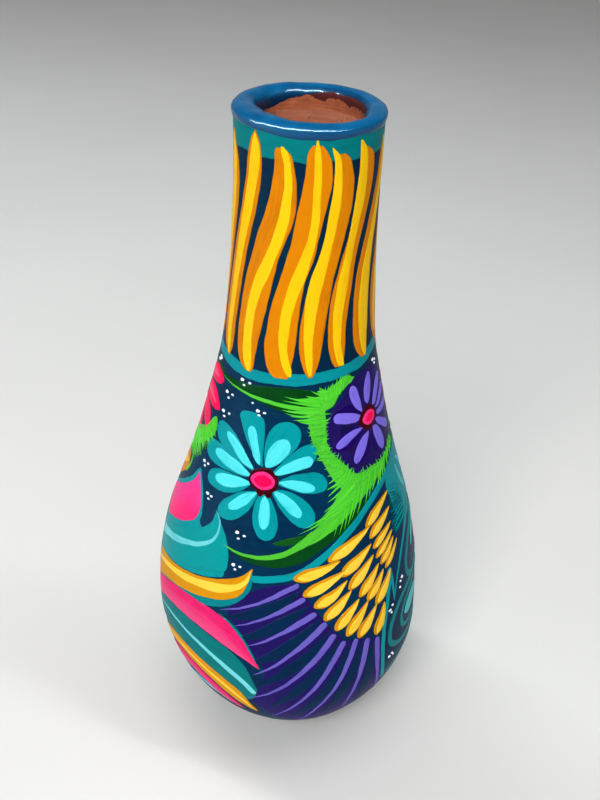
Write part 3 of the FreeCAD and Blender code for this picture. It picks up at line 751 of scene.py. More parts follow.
class Skin:
    """Collects the strokes of one colour and makes them one piece."""

    def __init__(self, name, mat, slot):
        self.name, self.mat, self.slot = name, mat, slot
        self.v, self.f, self.brush, self.edge, self.side, self.uvrect = [], [], [], [], [], []
        self.nv = 0

    def grid(self, left, right, height, soft_ends=(True, True), seed=None):
        """One stroke between two lines of (angle, height) points of equal count."""
        n = len(left)
        w = gap(left, right)
        mid = (left + right) / 2
        along = lengths(mid)
        total = along[-1]
        K = max(2, int(float(np.max(w)) / 1.5) + 1)
        col = []
        for i, d in enumerate(EDGE):
            col.append(np.minimum(d, w * (0.06 + 0.08 * i)) if i else np.zeros(n))
        inner = [col[-1] + (w - 2 * col[-1]) * k / K for k in range(1, K)]
        cols = col + inner + [w - c for c in reversed(col)]
        m = len(cols)
        C = np.array(cols).T                                  # n x m, mm from the left edge
        fr = C / np.maximum(w, 1e-9)[:, None]
        th = left[:, 0][:, None] * (1 - fr) + right[:, 0][:, None] * fr
        zz = left[:, 1][:, None] * (1 - fr) + right[:, 1][:, None] * fr
        side = np.minimum(C, w[:, None] - C)
        big = 1e9
        ends = np.minimum(along[:, None] if soft_ends[0] else big, (total - along)[:, None] if soft_ends[1] else big)
        e = np.minimum(side, ends)
        q = np.clip(e / ROLL, 0, 1)
        h = height * np.sqrt(np.clip(1 - (1 - q) ** 2, 0, 1)) - 0.012 * (q <= 0)
        if seed is None:
            seed = RND.random()
        # a fuller line of paint pushed to the sides, and hair marks along it
        h = h + 0.012 * np.exp(-((e - 0.3) / 0.22) ** 2) * (q > 0)
        top = on_wall(th, zz, h)
        base = self.nv
        self.v.append(top.reshape(-1, 3))
        across = C - w[:, None] / 2
        sd = np.full((n, m), seed)
        self.brush.append(np.stack([np.repeat(along[:, None], m, 1), across, sd], -1).reshape(-1, 3))
        self.edge.append(e.reshape(-1))
        self.side.append(fr.reshape(-1))
        L2 = on_wall(left[:, 0], left[:, 1], -0.06)
        R2 = on_wall(right[:, 0], right[:, 1], -0.06)
        self.v.append(L2)
        self.v.append(R2)
        for c in (-w / 2, w / 2):
            self.brush.append(np.stack([along, c, np.full(n, seed)], -1))
            self.edge.append(np.zeros(n))
            self.side.append(np.zeros(n))
        self.nv += n * m + 2 * n
        a = lambda i, j: base + i * m + j
        l2 = lambda i: base + n * m + i
        r2 = lambda i: base + n * m + n + i
        F, U = self.f, []
        for i in range(n - 1):
            for j in range(m - 1):
                F.append((a(i, j), a(i, j + 1), a(i + 1, j + 1), a(i + 1, j)))
                U.append(((i, C[i, j]), (i, C[i, j + 1]), (i + 1, C[i + 1, j + 1]), (i + 1, C[i + 1, j])))
        top_n = len(U)
        for i in range(n - 1):
            F.append((a(i, 0), a(i + 1, 0), l2(i + 1), l2(i)))
            F.append((a(i + 1, m - 1), a(i, m - 1), r2(i), r2(i + 1)))
            F.append((l2(i), l2(i + 1), r2(i + 1), r2(i)))
        F.append(tuple([a(0, j) for j in range(m - 1, -1, -1)] + [l2(0), r2(0)]))
        F.append(tuple([a(n - 1, j) for j in range(m)] + [r2(n - 1), l2(n - 1)]))
        wmax = float(np.max(w))
        off = (wmax - w) / 2
        rect = []
        for q4 in U:
            rect.append([(off[i] + c, along[i]) for i, c in q4])
        self.uvrect.append((wmax, float(total), rect, [len(f) for f in F[-(3 * (n - 1) + 2):]]))

    # -- kinds of mark
    def rows(self, table, layer, order, amp=0.045):
        T = sorted(table, key=lambda r: -r[0])
        l = spline([(r[1], r[0]) for r in T], False, 10)
        r_ = spline([(r[2], r[0]) for r in T], False, 10)
        # round off both ends, along the stroke's own line
        zt, zb = T[0][0], T[-1][0]
        zs = np.linspace(zt, zb, 60)
        li = np.interp(-zs, -l[:, 1], l[:, 0])
        ri = np.interp(-zs, -r_[:, 1], r_[:, 0])
        lw = wobble(np.stack([li, zs], -1), amp, RND.random())
        rw = wobble(np.stack([ri, zs], -1), amp, RND.random())
        fr = stations(lengths((lw + rw) / 2)[-1])
        u = np.linspace(0, 1, 60)
        pick = lambda a: np.stack([np.interp(fr, u, a[:, 0]), np.interp(fr, u, a[:, 1])], -1)
        self.grid(pick(lw), pick(rw), 0.06 * layer + 0.002 * order)

    def pairs(self, table, layer, order, amp=0.08):
        a = spline([(t[0], t[1]) for t in table], False, 10)
        b = spline([(t[2], t[3]) for t in table], False, 10)
        mid = (a + b) / 2
        L = lengths(mid)
        fr = stations(L[-1]) * L[-1]
        pick = lambda q: np.stack([np.interp(fr, L, q[:, 0]), np.interp(fr, L, q[:, 1])], -1)
        self.grid(wobble(pick(a), amp, RND.random()), wobble(pick(b), amp, RND.random()), 0.06 * layer + 0.002 * order)

    def blob(self, pts, layer, order, amp=0.05):
        P = spline(pts, True, 12)
        P = np.vstack([P, P[:1]])
        c = np.repeat(P[:1], len(P), 0)
        k = int(np.argmax(gap(P, c)))
        A, B = P[:k + 1], P[k:][::-1]
        total = (lengths(A)[-1] + lengths(B)[-1]) / 2
        fr = stations(total)
        a = resample(A, fr)
        b = resample(B, fr)
        a[1:-1] = wobble(a, amp, RND.random())[1:-1]
        b[1:-1] = wobble(b, amp, RND.random())[1:-1]
        d = gap(a, b)
        # keep a hair of width at the ends so that no face is empty
        tiny = d < 0.02
        if tiny.any():
            mid = (a + b) / 2
            dirv = np.gradient(mid, axis=0)
            du = dirv[:, 0] * np.pi / 180 * r_of(mid[:, 1])
            ds = dirv[:, 1]
            m = np.maximum(np.hypot(du, ds), 1e-6)
            ox = (-ds / m) * 0.012 / (r_of(mid[:, 1]) * np.pi / 180)
            oz = (du / m) * 0.012
            s = np.sign((a[:, 0] - b[:, 0])[len(a) // 2] * (-ds / m)[len(a) // 2] + (a[:, 1] - b[:, 1])[len(a) // 2] * (du / m)[len(a) // 2]) or 1.0
            a[tiny] = mid[tiny] + s * np.stack([ox, oz], -1)[tiny]
            b[tiny] = mid[tiny] - s * np.stack([ox, oz], -1)[tiny]
        self.grid(a, b, 0.06 * layer + 0.002 * order)

    def stroke(self, kind, w, pts, layer, order, amp=0.05, seed=None):
        c = spline(pts, False, 14)
        total = lengths(c)[-1]
        fr = stations(total)
        mid = resample(c, fr)
        if amp:
            mid = wobble(mid, amp, RND.random())
        h = profile(kind, w, total, fr)
        h = h * (1 + 0.05 * np.sin(fr * total / 2.7 + RND.uniform(0, 6)) * (fr * (1 - fr) * 4))
        d = np.gradient(mid, axis=0)
        du = d[:, 0] * np.pi / 180 * r_of(mid[:, 1])
        slope = np.sqrt(1 + np.interp(mid[:, 1], TZ, TD) ** 2)
        ds = d[:, 1] * slope
        m = np.maximum(np.hypot(du, ds), 1e-9)
        nx, ny = -ds / m, du / m
        k = r_of(mid[:, 1]) * np.pi / 180
        left = np.stack([mid[:, 0] + nx * h / k, mid[:, 1] + ny * h / slope], -1)
        right = np.stack([mid[:, 0] - nx * h / k, mid[:, 1] - ny * h / slope], -1)
        for q in (left, right):
            q[:, 1] = np.clip(q[:, 1], 0.6, 249.0)
        self.grid(left, right, 0.06 * layer + 0.002 * order, seed=seed)

    def dot(self, r, p, layer, order):
        k = r_of(p[1]) * np.pi / 180
        slope = math.sqrt(1 + float(np.interp(p[1], TZ, TD)) ** 2)
        a0 = RND.uniform(0, 6.28)
        r = r * 0.80
        e1, e2 = RND.uniform(0.10, 0.30), RND.uniform(-0.08, 0.08)
        t = np.linspace(0, np.pi, 17)
        t[0], t[-1] = 0.02, np.pi - 0.02
        def at(s):
            ang = s * t + a0
            rad = r * (1 + e1 * np.cos(2 * ang) + e2 * np.cos(3 * ang))
            return np.stack([p[0] + rad * np.cos(ang) / k, p[1] + rad * np.sin(ang) / slope], -1)
        self.grid(at(1.0), at(-1.0), 0.06 * layer + 0.05)

    def fringe(self, w, roots, tips, n, layer, order):
        A = spline(roots, False, 10) if len(roots) > 2 else np.array(roots, float)
        B = spline(tips, False, 10) if len(tips) > 2 else np.array(tips, float)
        a = resample(A, np.linspace(0, 1, n))
        b = resample(B, np.linspace(0, 1, n))
        for i in range(n):
            j = lambda s: RND.uniform(-s, s)
            p0 = a[i] + np.array([j(0.7), j(0.5)])
            p2 = b[i] + np.array([j(0.9), j(0.7)])
            bend = np.array([j(0.8), j(0.7)])
            p1 = (p0 + p2) / 2 + bend
            self.stroke("spike", w * RND.uniform(0.75, 1.25), [p0, p1, p2], layer, (order + i) % 24, amp=0.02)

    def make(self):
        if not self.v:
            return None
        me = bpy.data.meshes.new(self.name)
        V = np.vstack(self.v)
        me.vertices.add(len(V))
        me.vertices.foreach_set("co", V.astype(np.float32).ravel())
        sizes = np.array([len(f) for f in self.f])
        loops = np.concatenate([np.array(f) for f in self.f])
        me.loops.add(len(loops))
        me.loops.foreach_set("vertex_index", loops.astype(np.int32))
        me.polygons.add(len(sizes))
        me.polygons.foreach_set("loop_start", np.concatenate([[0], np.cumsum(sizes)[:-1]]).astype(np.int32))
        me.polygons.foreach_set("loop_total", sizes.astype(np.int32))
        me.update(calc_edges=True)
        me.validate()
        me.polygons.foreach_set("use_smooth", [True] * len(me.polygons))
        a = me.attributes.new("brush", "FLOAT_VECTOR", "POINT")
        a.data.foreach_set("vector", np.vstack(self.brush).astype(np.float32).ravel())
        me.attributes.new("side", "FLOAT", "POINT").data.foreach_set("value", np.concatenate(self.side).astype(np.float32))
        b = me.attributes.new("edge", "FLOAT", "POINT")
        b.data.foreach_set("value", np.concatenate(self.edge).astype(np.float32))
        # strokes laid out side by side on a square sheet, for a baked copy
        rects = sorted(range(len(self.uvrect)), key=lambda i: -self.uvrect[i][1])
        area = sum((r[0] + 1.2) * (r[1] + 1.2) for r in self.uvrect)
        side = max(math.sqrt(area) * 1.12, max(r[1] for r in self.uvrect) + 3, max(r[0] for r in self.uvrect) + 3)
        for _ in range(40):
            x = y = 1.2
            shelf, place, ok = 0.0, {}, True
            for i in rects:
                wd, ln = self.uvrect[i][0] + 0.8, self.uvrect[i][1] + 0.8
                if x + wd > side - 1.0:
                    x, y, shelf = 1.2, y + shelf + 0.2, 0.0
                place[i] = (x, y)
                x += wd
                shelf = max(shelf, ln)
                if y + ln > side - 0.4:
                    ok = False
                    break
            if ok:
                break
            side *= 1.04
        uv = []
        hid = 0
        for i, (wd, ln, rect, rest) in enumerate(self.uvrect):
            ox, oy = place[i]
            for q4 in rect:
                uv.extend([((ox + u) / side, (oy + v) / side) for u, v in q4])
            for cnt in rest:
                # hidden undersides share a thin margin of the sheet
                x0 = (0.1 + 0.8 * ((hid * 7919) % 9973) / 9973) 
                for k in range(cnt):
                    ang = 2 * math.pi * k / cnt
                    uv.append((x0 + 0.0002 * math.cos(ang), 0.0008 + 0.0002 * math.sin(ang)))
                hid += 1
        if len(uv) == len(me.loops):
            me.uv_layers.new(name="OFBake").data.foreach_set("uv", np.array(uv, dtype=np.float32).ravel())
        else:
            print("uv count differs on", self.name, len(uv), len(me.loops))
        me.materials.append(self.mat)
        o = link(bpy.data.objects.new(self.name, me))
        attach(o, "root")
        return o


# Marks: (kind, colour, layer, ...). R rows of (height, left angle, right angle); B a closed
# outline from its base; L a ribbon by pairs of edge points; S a stroke (profile, width mm, centre line); D a dot (radius mm, place);
# F a fringe (width mm, roots, tips, how many).
STRIPES = [
    ("R", "orange", 2, [(242.8, -74.5, -73.5), (238.9, -80, -68.8), (233.9, -82.5, -64), (227.6, -83.8, -62.2), (218.9, -85, -63.5), (211.4, -86.5, -66.5), (202.6, -89, -71), (193.9, -93, -76), (186.4, -96.5, -78.5), (178.9, -98, -80), (171.4, -95.5, -81), (167.4, -89, -85)]),
    ("R", "yellow", 3, [(241.8, -75, -73.8), (236.4, -77, -68.5), (228.9, -78, -67.5), (218.9, -79.5, -68.8), (210.1, -82.2, -72.5), (201.4, -85.5, -77), (192.6, -89.5, -81.8), (183.9, -92, -85), (175.1, -92.2, -85.8), (168.9, -89, -85.5)]),
    ("R", "orange", 2, [(245.8, -43, -42), (244.6, -44.5, -40.2), (242.9, -47, -37.8), (237.6, -50.5, -35.8), (231.4, -52.2, -35.8), (225.1, -55, -37.8), (218.9, -57.8, -40.5), (206.4, -64.8, -47), (193.9, -71.5, -52), (181.4, -74.7, -55.4), (173.9, -74.5, -56.4), (168.2, -70, -57), (165.1, -61.5, -59.8)]),
    ("R", "yellow", 3, [(245.2, -42.9, -42.1), (243.9, -44.2, -40.5), (241.4, -46, -38.2), (236.4, -48, -37), (231.4, -49.5, -38.8), (225.1, -52, -41.5), (218.9, -55, -44.2), (206.4, -60.8, -51), (193.9, -66, -56.8), (181.4, -68.5, -60.4), (172.6, -67.8, -61), (168.2, -65, -59.8), (165.6, -61.5, -59.8)]),
    ("R", "orange", 2, [(242.2, -23.4, -19), (241.5, -24.4, -15), (240.4, -24.8, -11.8), (237.6, -24.6, -9.8), (231.4, -26, -7), (225.1, -28.8, -6.4), (218.9, -32.8, -8), (212.6, -37.8, -13), (206.4, -41.2, -17.8), (200.1, -45.5, -20.8), (193.9, -48.5, -23.4), (187.6, -50.5, -26), (181.4, -51.5, -28.5), (175.1, -51.8, -30.8), (168.9, -49.5, -32.4), (165.4, -44.5, -32.8), (163.8, -39, -34.5)]),
    ("R", "yellow", 3, [(242.6, -19.8, -18), (241.6, -19.8, -15), (240.1, -19.2, -13.2), (237.6, -17.5, -11.8), (231.4, -16.5, -10), (225.1, -18, -10.2), (218.9, -20.5, -11.4), (212.6, -24.5, -15), (206.4, -29.5, -20), (200.1, -36, -24.8), (193.9, -40.5, -30.5), (187.6, -43.5, -34.4), (181.4, -45, -36), (175.1, -45.2, -36.4), (168.9, -43.8, -35), (165.4, -40.5, -34.5), (163.9, -37.5, -35.2)]),
    ("R", "orange", 2, [(243.8, 3.5, 10.2), (242.9, 1.6, 12.8), (241.4, 0, 15.2), (237.6, -0.6, 18.6), (231.4, -2, 19.6), (225.1, -4.5, 17), (218.9, -7, 14.2), (212.6, -9, 11.2), (206.4, -12.4, 8.6), (200.1, -16, 3.5), (193.9, -19.8, 1), (187.6, -23, -0.4), (181.4, -24.4, -1.4), (175.1, -25.7, -2.4), (168.9, -23.4, -4.4), (165.6, -20, -5.5), (164.2, -16, -7)]),
    ("R", "yellow", 3, [(246.1, 6.2, 6.9), (244.9, 5.8, 7.6), (243.4, 5.3, 8.6), (241.4, 5, 9.8), (237.6, 5.1, 11), (231.4, 5.3, 11.6), (225.1, 5.1, 11.6), (218.9, 4.8, 11.6), (212.6, 2.2, 9.6), (206.4, -2.5, 6.6), (200.1, -7.8, 3), (193.9, -11.5, -1.8), (187.6, -14.2, -5.4), (181.4, -15.3, -7), (175.1, -14.5, -7.8), (170.1, -12.2, -5.8), (167, -9.5, -3.8), (165.1, -6.5, -4.2)]),
    ("R", "orange", 2, [(240.8, 24.2, 28.6), (240, 22.8, 31.2), (238.8, 21.8, 34), (236.4, 21.8, 36), (231.4, 21.5, 38.6), (225.1, 19.6, 38.6), (218.9, 18, 36.2), (212.6, 16.5, 32.6), (206.4, 13, 29), (200.1, 8, 25.2), (193.9, 4, 23), (187.6, 1.8, 21), (181.4, 0.3, 19.2), (175.1, 0.5, 17.6), (169.5, 3, 15.2), (166.4, 5.5, 12.8), (164.8, 8, 10.8)]),
    ("R", "yellow", 3, [(243.1, 17.6, 18.4), (242.1, 18, 20.8), (240.6, 19, 24), (237.6, 20.5, 26.5), (231.4, 20.8, 28), (225.1, 19.5, 28.2), (218.9, 17.5, 26.2), (212.6, 15.5, 23.6), (206.4, 11.5, 20.6), (200.1, 6.8, 17.6), (193.9, 4, 14.6), (187.6, 3.1, 12.6), (181.4, 3.3, 11.2), (175.1, 4, 10.6), (168.9, 6, 11.2), (165.4, 8, 10.2)]),
    ("R", "orange", 2, [(241.6, 45.8, 50.2), (240.9, 44.2, 53.6), (239.6, 43.2, 57), (237.6, 43, 60), (231.4, 43, 61.2), (225.1, 41.6, 59), (218.9, 39.5, 55), (212.6, 36.5, 50.6), (206.4, 31.6, 46.2), (200.1, 27.6, 43.6), (193.9, 24, 41.6), (187.6, 22.4, 39.2), (181.4, 21.9, 37.6), (175.1, 22.6, 37.2), (170.1, 25, 36.2), (167.4, 28.2, 35)]),
    ("R", "yellow", 3, [(244.1, 42, 43.8), (243.1, 42, 46), (241.9, 42.3, 48.6), (237.6, 43, 51.6), (231.4, 42.8, 52.2), (225.1, 41.1, 51.6), (218.9, 39.5, 48.2), (212.6, 36.5, 44.6), (206.4, 33.6, 41.6), (200.1, 29.6, 39.2), (193.9, 27, 37.2), (187.6, 25.5, 34.6), (181.4, 25.5, 33.6), (175.1, 26.6, 33.6), (169.5, 29.2, 35.6), (167.4, 31.2, 36.2)]),
    ("R", "orange", 2, [(241.4, 75.8, 79.4), (240.1, 74, 82.5), (238.4, 73, 85.2), (231.4, 70.5, 86), (225.1, 66.5, 81.5), (218.9, 62.2, 77.2), (212.6, 57.6, 74.2), (206.4, 52.6, 70.2), (200.1, 48, 67.2), (193.9, 45.5, 65.2), (187.6, 44.5, 64.2), (181.4, 44.5, 63.6), (175.1, 45.2, 62.6), (170.1, 49, 61.2), (167.4, 54, 59)]),
    ("R", "yellow", 3, [(242.2, 76.2, 77.6), (240.6, 75.8, 80.5), (237.6, 76.2, 83), (231.4, 75.5, 82.5), (225.1, 72.5, 79.5), (218.9, 69, 76.2), (212.6, 64, 72.2), (206.4, 59, 68.6), (200.1, 54, 66.2), (193.9, 51.6, 64.6), (187.6, 50.2, 63.2), (181.4, 50.5, 63.2), (175.1, 51.8, 62.2), (170.1, 54.8, 61.2), (167.6, 57, 60)]),
    ("R", "orange", 2, [(242.6, 99.5, 104), (238.9, 96.5, 109), (231.4, 94.5, 110.5), (223.9, 91.5, 107), (216.4, 87.2, 102.5), (208.9, 82.5, 97.5), (201.4, 75.8, 92), (193.9, 70.2, 87.5), (187.6, 68.8, 86.2), (181.4, 69, 85.8), (175.1, 72.2, 85.2), (170.1, 77, 83)]),
    ("R", "yellow", 3, [(242.4, 100, 103), (236.4, 100.5, 107.5), (227.6, 98.5, 105.5), (218.9, 93.5, 101.5), (210.1, 88, 96.2), (201.4, 81.8, 90.8), (193.9, 76.5, 85.8), (186.4, 74.8, 83), (178.9, 75, 82.2), (172.6, 78, 82.5)]),
    ("R", "orange", 2, [(243.8, 108.8, 115.9), (242.9, 106.8, 118.6), (241.4, 105.2, 121.2), (237.6, 105, 124.8), (231.4, 104.2, 125.8), (225.1, 102.2, 122.8), (219, 99.9, 119.8), (212.7, 97.7, 116.9), (206.5, 93.7, 114.3), (200.2, 89.3, 109.2), (194, 84.7, 106.5), (187.7, 80.9, 104.8), (181.5, 79.3, 103.2), (175.3, 78, 101.4), (169.1, 80.5, 98.8), (165.8, 83.9, 97.7), (164.4, 87.9, 96.4)]),
    ("R", "yellow", 3, [(246.1, 111.5, 112.3), (244.9, 111.1, 113.1), (243.4, 110.6, 114.3), (241.4, 110.3, 115.7), (237.6, 110.6, 117.2), (231.4, 111.3, 118), (225.1, 111.4, 118.1), (219, 111.4, 118.3), (212.7, 108.7, 116.2), (206.5, 103.5, 113.1), (200.2, 97.4, 109.3), (194, 93.1, 104), (187.7, 89.9, 99.9), (181.5, 88.5, 97.7), (175.3, 89.2, 96.4), (170.3, 91.6, 98.3), (167.2, 94.5, 100.3), (165.3, 97.6, 99.9)]),
    ("R", "orange", 2, [(240.8, 130.6, 134.9), (240, 129.1, 137.4), (238.7, 127.9, 139.9), (236.3, 127.6, 141.7), (231.3, 126.6, 144.1), (224.9, 124.1, 144.4), (218.7, 122.4, 142.3), (212.3, 121.2, 139), (206, 118.4, 135.8), (199.7, 114.5, 132.5), (193.4, 111.6, 130.7), (187.1, 110.2, 129.1), (180.8, 109.3, 127.9), (174.4, 109.7, 127), (168.8, 112.2, 125.1), (165.7, 114.9, 122.7), (164, 117.6, 120.6)]),
    ("R", "yellow", 3, [(243.1, 125.7, 126.4), (242.1, 125.9, 128.5), (240.6, 126.5, 131.1), (237.5, 127.5, 133.1), (231.3, 127.3, 134.2), (224.9, 125.7, 134.4), (218.7, 123.6, 132.6), (212.3, 121.8, 130.2), (206, 118.5, 127.7), (199.7, 114.7, 125.3), (193.4, 112.7, 122.8), (187.1, 112.4, 121.2), (180.8, 112.9, 120.2), (174.4, 113.8, 120.1), (168.2, 115.7, 120.8), (164.7, 117.7, 119.9)]),
    ("R", "orange", 2, [(242.2, 156.3, 160.6), (241.5, 155.5, 164.6), (240.3, 155.3, 167.8), (237.5, 155.8, 169.9), (231.2, 155.2, 172.6), (224.9, 153.2, 172.9), (218.6, 149.6, 171), (212.2, 144.3, 165.9), (206, 140.3, 161.3), (199.6, 135.3, 158.4), (193.3, 131.6, 155.8), (186.9, 129.1, 152.9), (180.7, 127.9, 149.9), (174.3, 127.6, 146.9), (168, 129.8, 144.9), (164.5, 134.6, 144.8), (162.9, 139.7, 143.6)]),
    ("R", "yellow", 3, [(242.6, 159.9, 161.8), (241.6, 160, 165), (240, 160.7, 166.9), (237.5, 162.6, 168.4), (231.2, 164.1, 170.5), (224.9, 163, 170.4), (218.6, 160.7, 169.2), (212.2, 156.6, 165.5), (206, 151.2, 160.4), (199.6, 144.1, 155.4), (193.3, 139, 149.4), (186.9, 135.5, 145), (180.7, 133.7, 143), (174.3, 133.4, 142.1), (168, 134.8, 143.2), (164.5, 138.1, 143.7), (163, 141, 143.2)]),
    ("R", "orange", 2, [(241.6, 179.3, 183.5), (240.9, 177.6, 186.6), (239.6, 176.4, 189.7), (237.6, 175.9, 192.3), (231.5, 175.5, 193.3), (225.2, 173.8, 191.5), (219, 171.7, 188.1), (212.7, 169, 184.3), (206.6, 164.8, 180.6), (200.3, 161.5, 178.4), (194.1, 158.7, 176.6), (187.8, 157.9, 174.4), (181.7, 157.9, 173), (175.4, 158.7, 173), (170.4, 161, 172.3), (167.7, 164.1, 171.1)]),
    ("R", "yellow", 3, [(244.1, 176.6, 178.1), (243.1, 176.5, 179.9), (241.9, 176.7, 182), (237.6, 177.1, 184.4), (231.5, 176.6, 184.8), (225.2, 174.8, 184.2), (219, 173.1, 181.3), (212.7, 170.4, 178.1), (206.6, 167.8, 175.5), (200.3, 164.5, 173.4), (194.1, 162.5, 171.7), (187.8, 161.6, 169.5), (181.7, 161.9, 168.8), (175.4, 163, 169), (169.8, 165.3, 171), (167.7, 167, 171.5)]),
    ("R", "orange", 2, [(243.8, 206.2, 212.7), (242.9, 204.4, 215.2), (241.4, 202.8, 217.6), (237.6, 202, 221), (231.4, 199.9, 222.1), (225.1, 196.5, 219.4), (218.9, 193.4, 216.4), (212.6, 191.2, 213), (206.4, 187.9, 209.8), (200.1, 184.5, 204), (193.9, 181, 201.2), (187.6, 178, 199.8), (181.4, 176.6, 199.2), (175.1, 175, 198.8), (168.9, 177.2, 197.4), (165.6, 180.8, 196.4), (164.2, 185.2, 194.9)]),
    ("R", "yellow", 3, [(246.1, 208.9, 209.6), (244.9, 208.4, 210.3), (243.4, 207.9, 211.2), (241.4, 207.5, 212.4), (237.6, 207.4, 213.6), (231.4, 207.2, 214), (225.1, 206.6, 213.9), (218.9, 206, 213.8), (212.6, 203.1, 211.5), (206.4, 198.1, 208.1), (200.1, 192.7, 204.2), (193.9, 189.1, 199), (187.6, 186.5, 195.4), (181.4, 185.5, 194.1), (175.1, 186.4, 193.7), (170.1, 189, 196.1), (167, 192, 198.4), (165.1, 195.3, 198)]),
    ("R", "orange", 2, [(240.8, 225.6, 230.1), (240, 223.9, 232.7), (238.8, 222.6, 235.5), (236.4, 222.3, 237.4), (231.4, 221.8, 239.9), (225, 220.3, 240.1), (218.8, 219.7, 238), (212.5, 219.3, 234.9), (206.3, 217, 232.1), (199.9, 213.1, 229.4), (193.7, 209.7, 228.2), (187.4, 207.6, 227.1), (181.2, 206.1, 225.9), (174.8, 206.2, 224.4), (169.2, 208.7, 221.5), (166.1, 211.3, 218.8), (164.5, 213.7, 216.6)]),
    ("R", "yellow", 3, [(243.1, 220.7, 221.6), (242.1, 220.7, 223.8), (240.6, 221.1, 226.7), (237.6, 222.1, 228.9), (231.4, 222.2, 230.3), (225, 221.2, 230.8), (218.8, 220, 229.3), (212.5, 218.9, 227.2), (206.3, 216, 225.1), (199.9, 212.2, 223.2), (193.7, 210, 221.1), (187.4, 209.3, 219.6), (181.2, 209.5, 218.4), (174.8, 210.1, 217.6), (168.6, 211.8, 217.6), (165.1, 213.7, 216.1)]),
    ("R", "orange", 2, [(242.2, 251.7, 256.5), (241.5, 250.5, 260.7), (240.4, 249.9, 264), (237.6, 250.3, 266.1), (231.3, 249.4, 269), (225, 247.3, 269.5), (218.8, 243.8, 267.9), (212.4, 239.1, 263.2), (206.2, 235.4, 258.9), (199.9, 230.6, 256.5), (193.6, 227.1, 254.2), (187.3, 224.7, 251.5), (181.1, 223.7, 248.5), (174.8, 223.6, 245.5), (168.5, 226.1, 243.2), (165, 231, 242.5), (163.4, 236.4, 240.8)]),
    ("R", "yellow", 3, [(242.6, 255.4, 257.3), (241.6, 255.3, 260.4), (240.1, 255.9, 262.2), (237.6, 257.7, 263.7), (231.3, 259.1, 265.6), (225, 258, 265.6), (218.8, 255.9, 264.5), (212.4, 252.1, 261.2), (206.2, 247.2, 256.5), (199.9, 240.5, 251.9), (193.6, 235.8, 246.3), (187.3, 232.6, 242.3), (181.1, 230.9, 240.3), (174.8, 230.6, 239.5), (168.5, 231.9, 240.4), (165, 235, 240.8), (163.5, 237.9, 240.1)]),
]
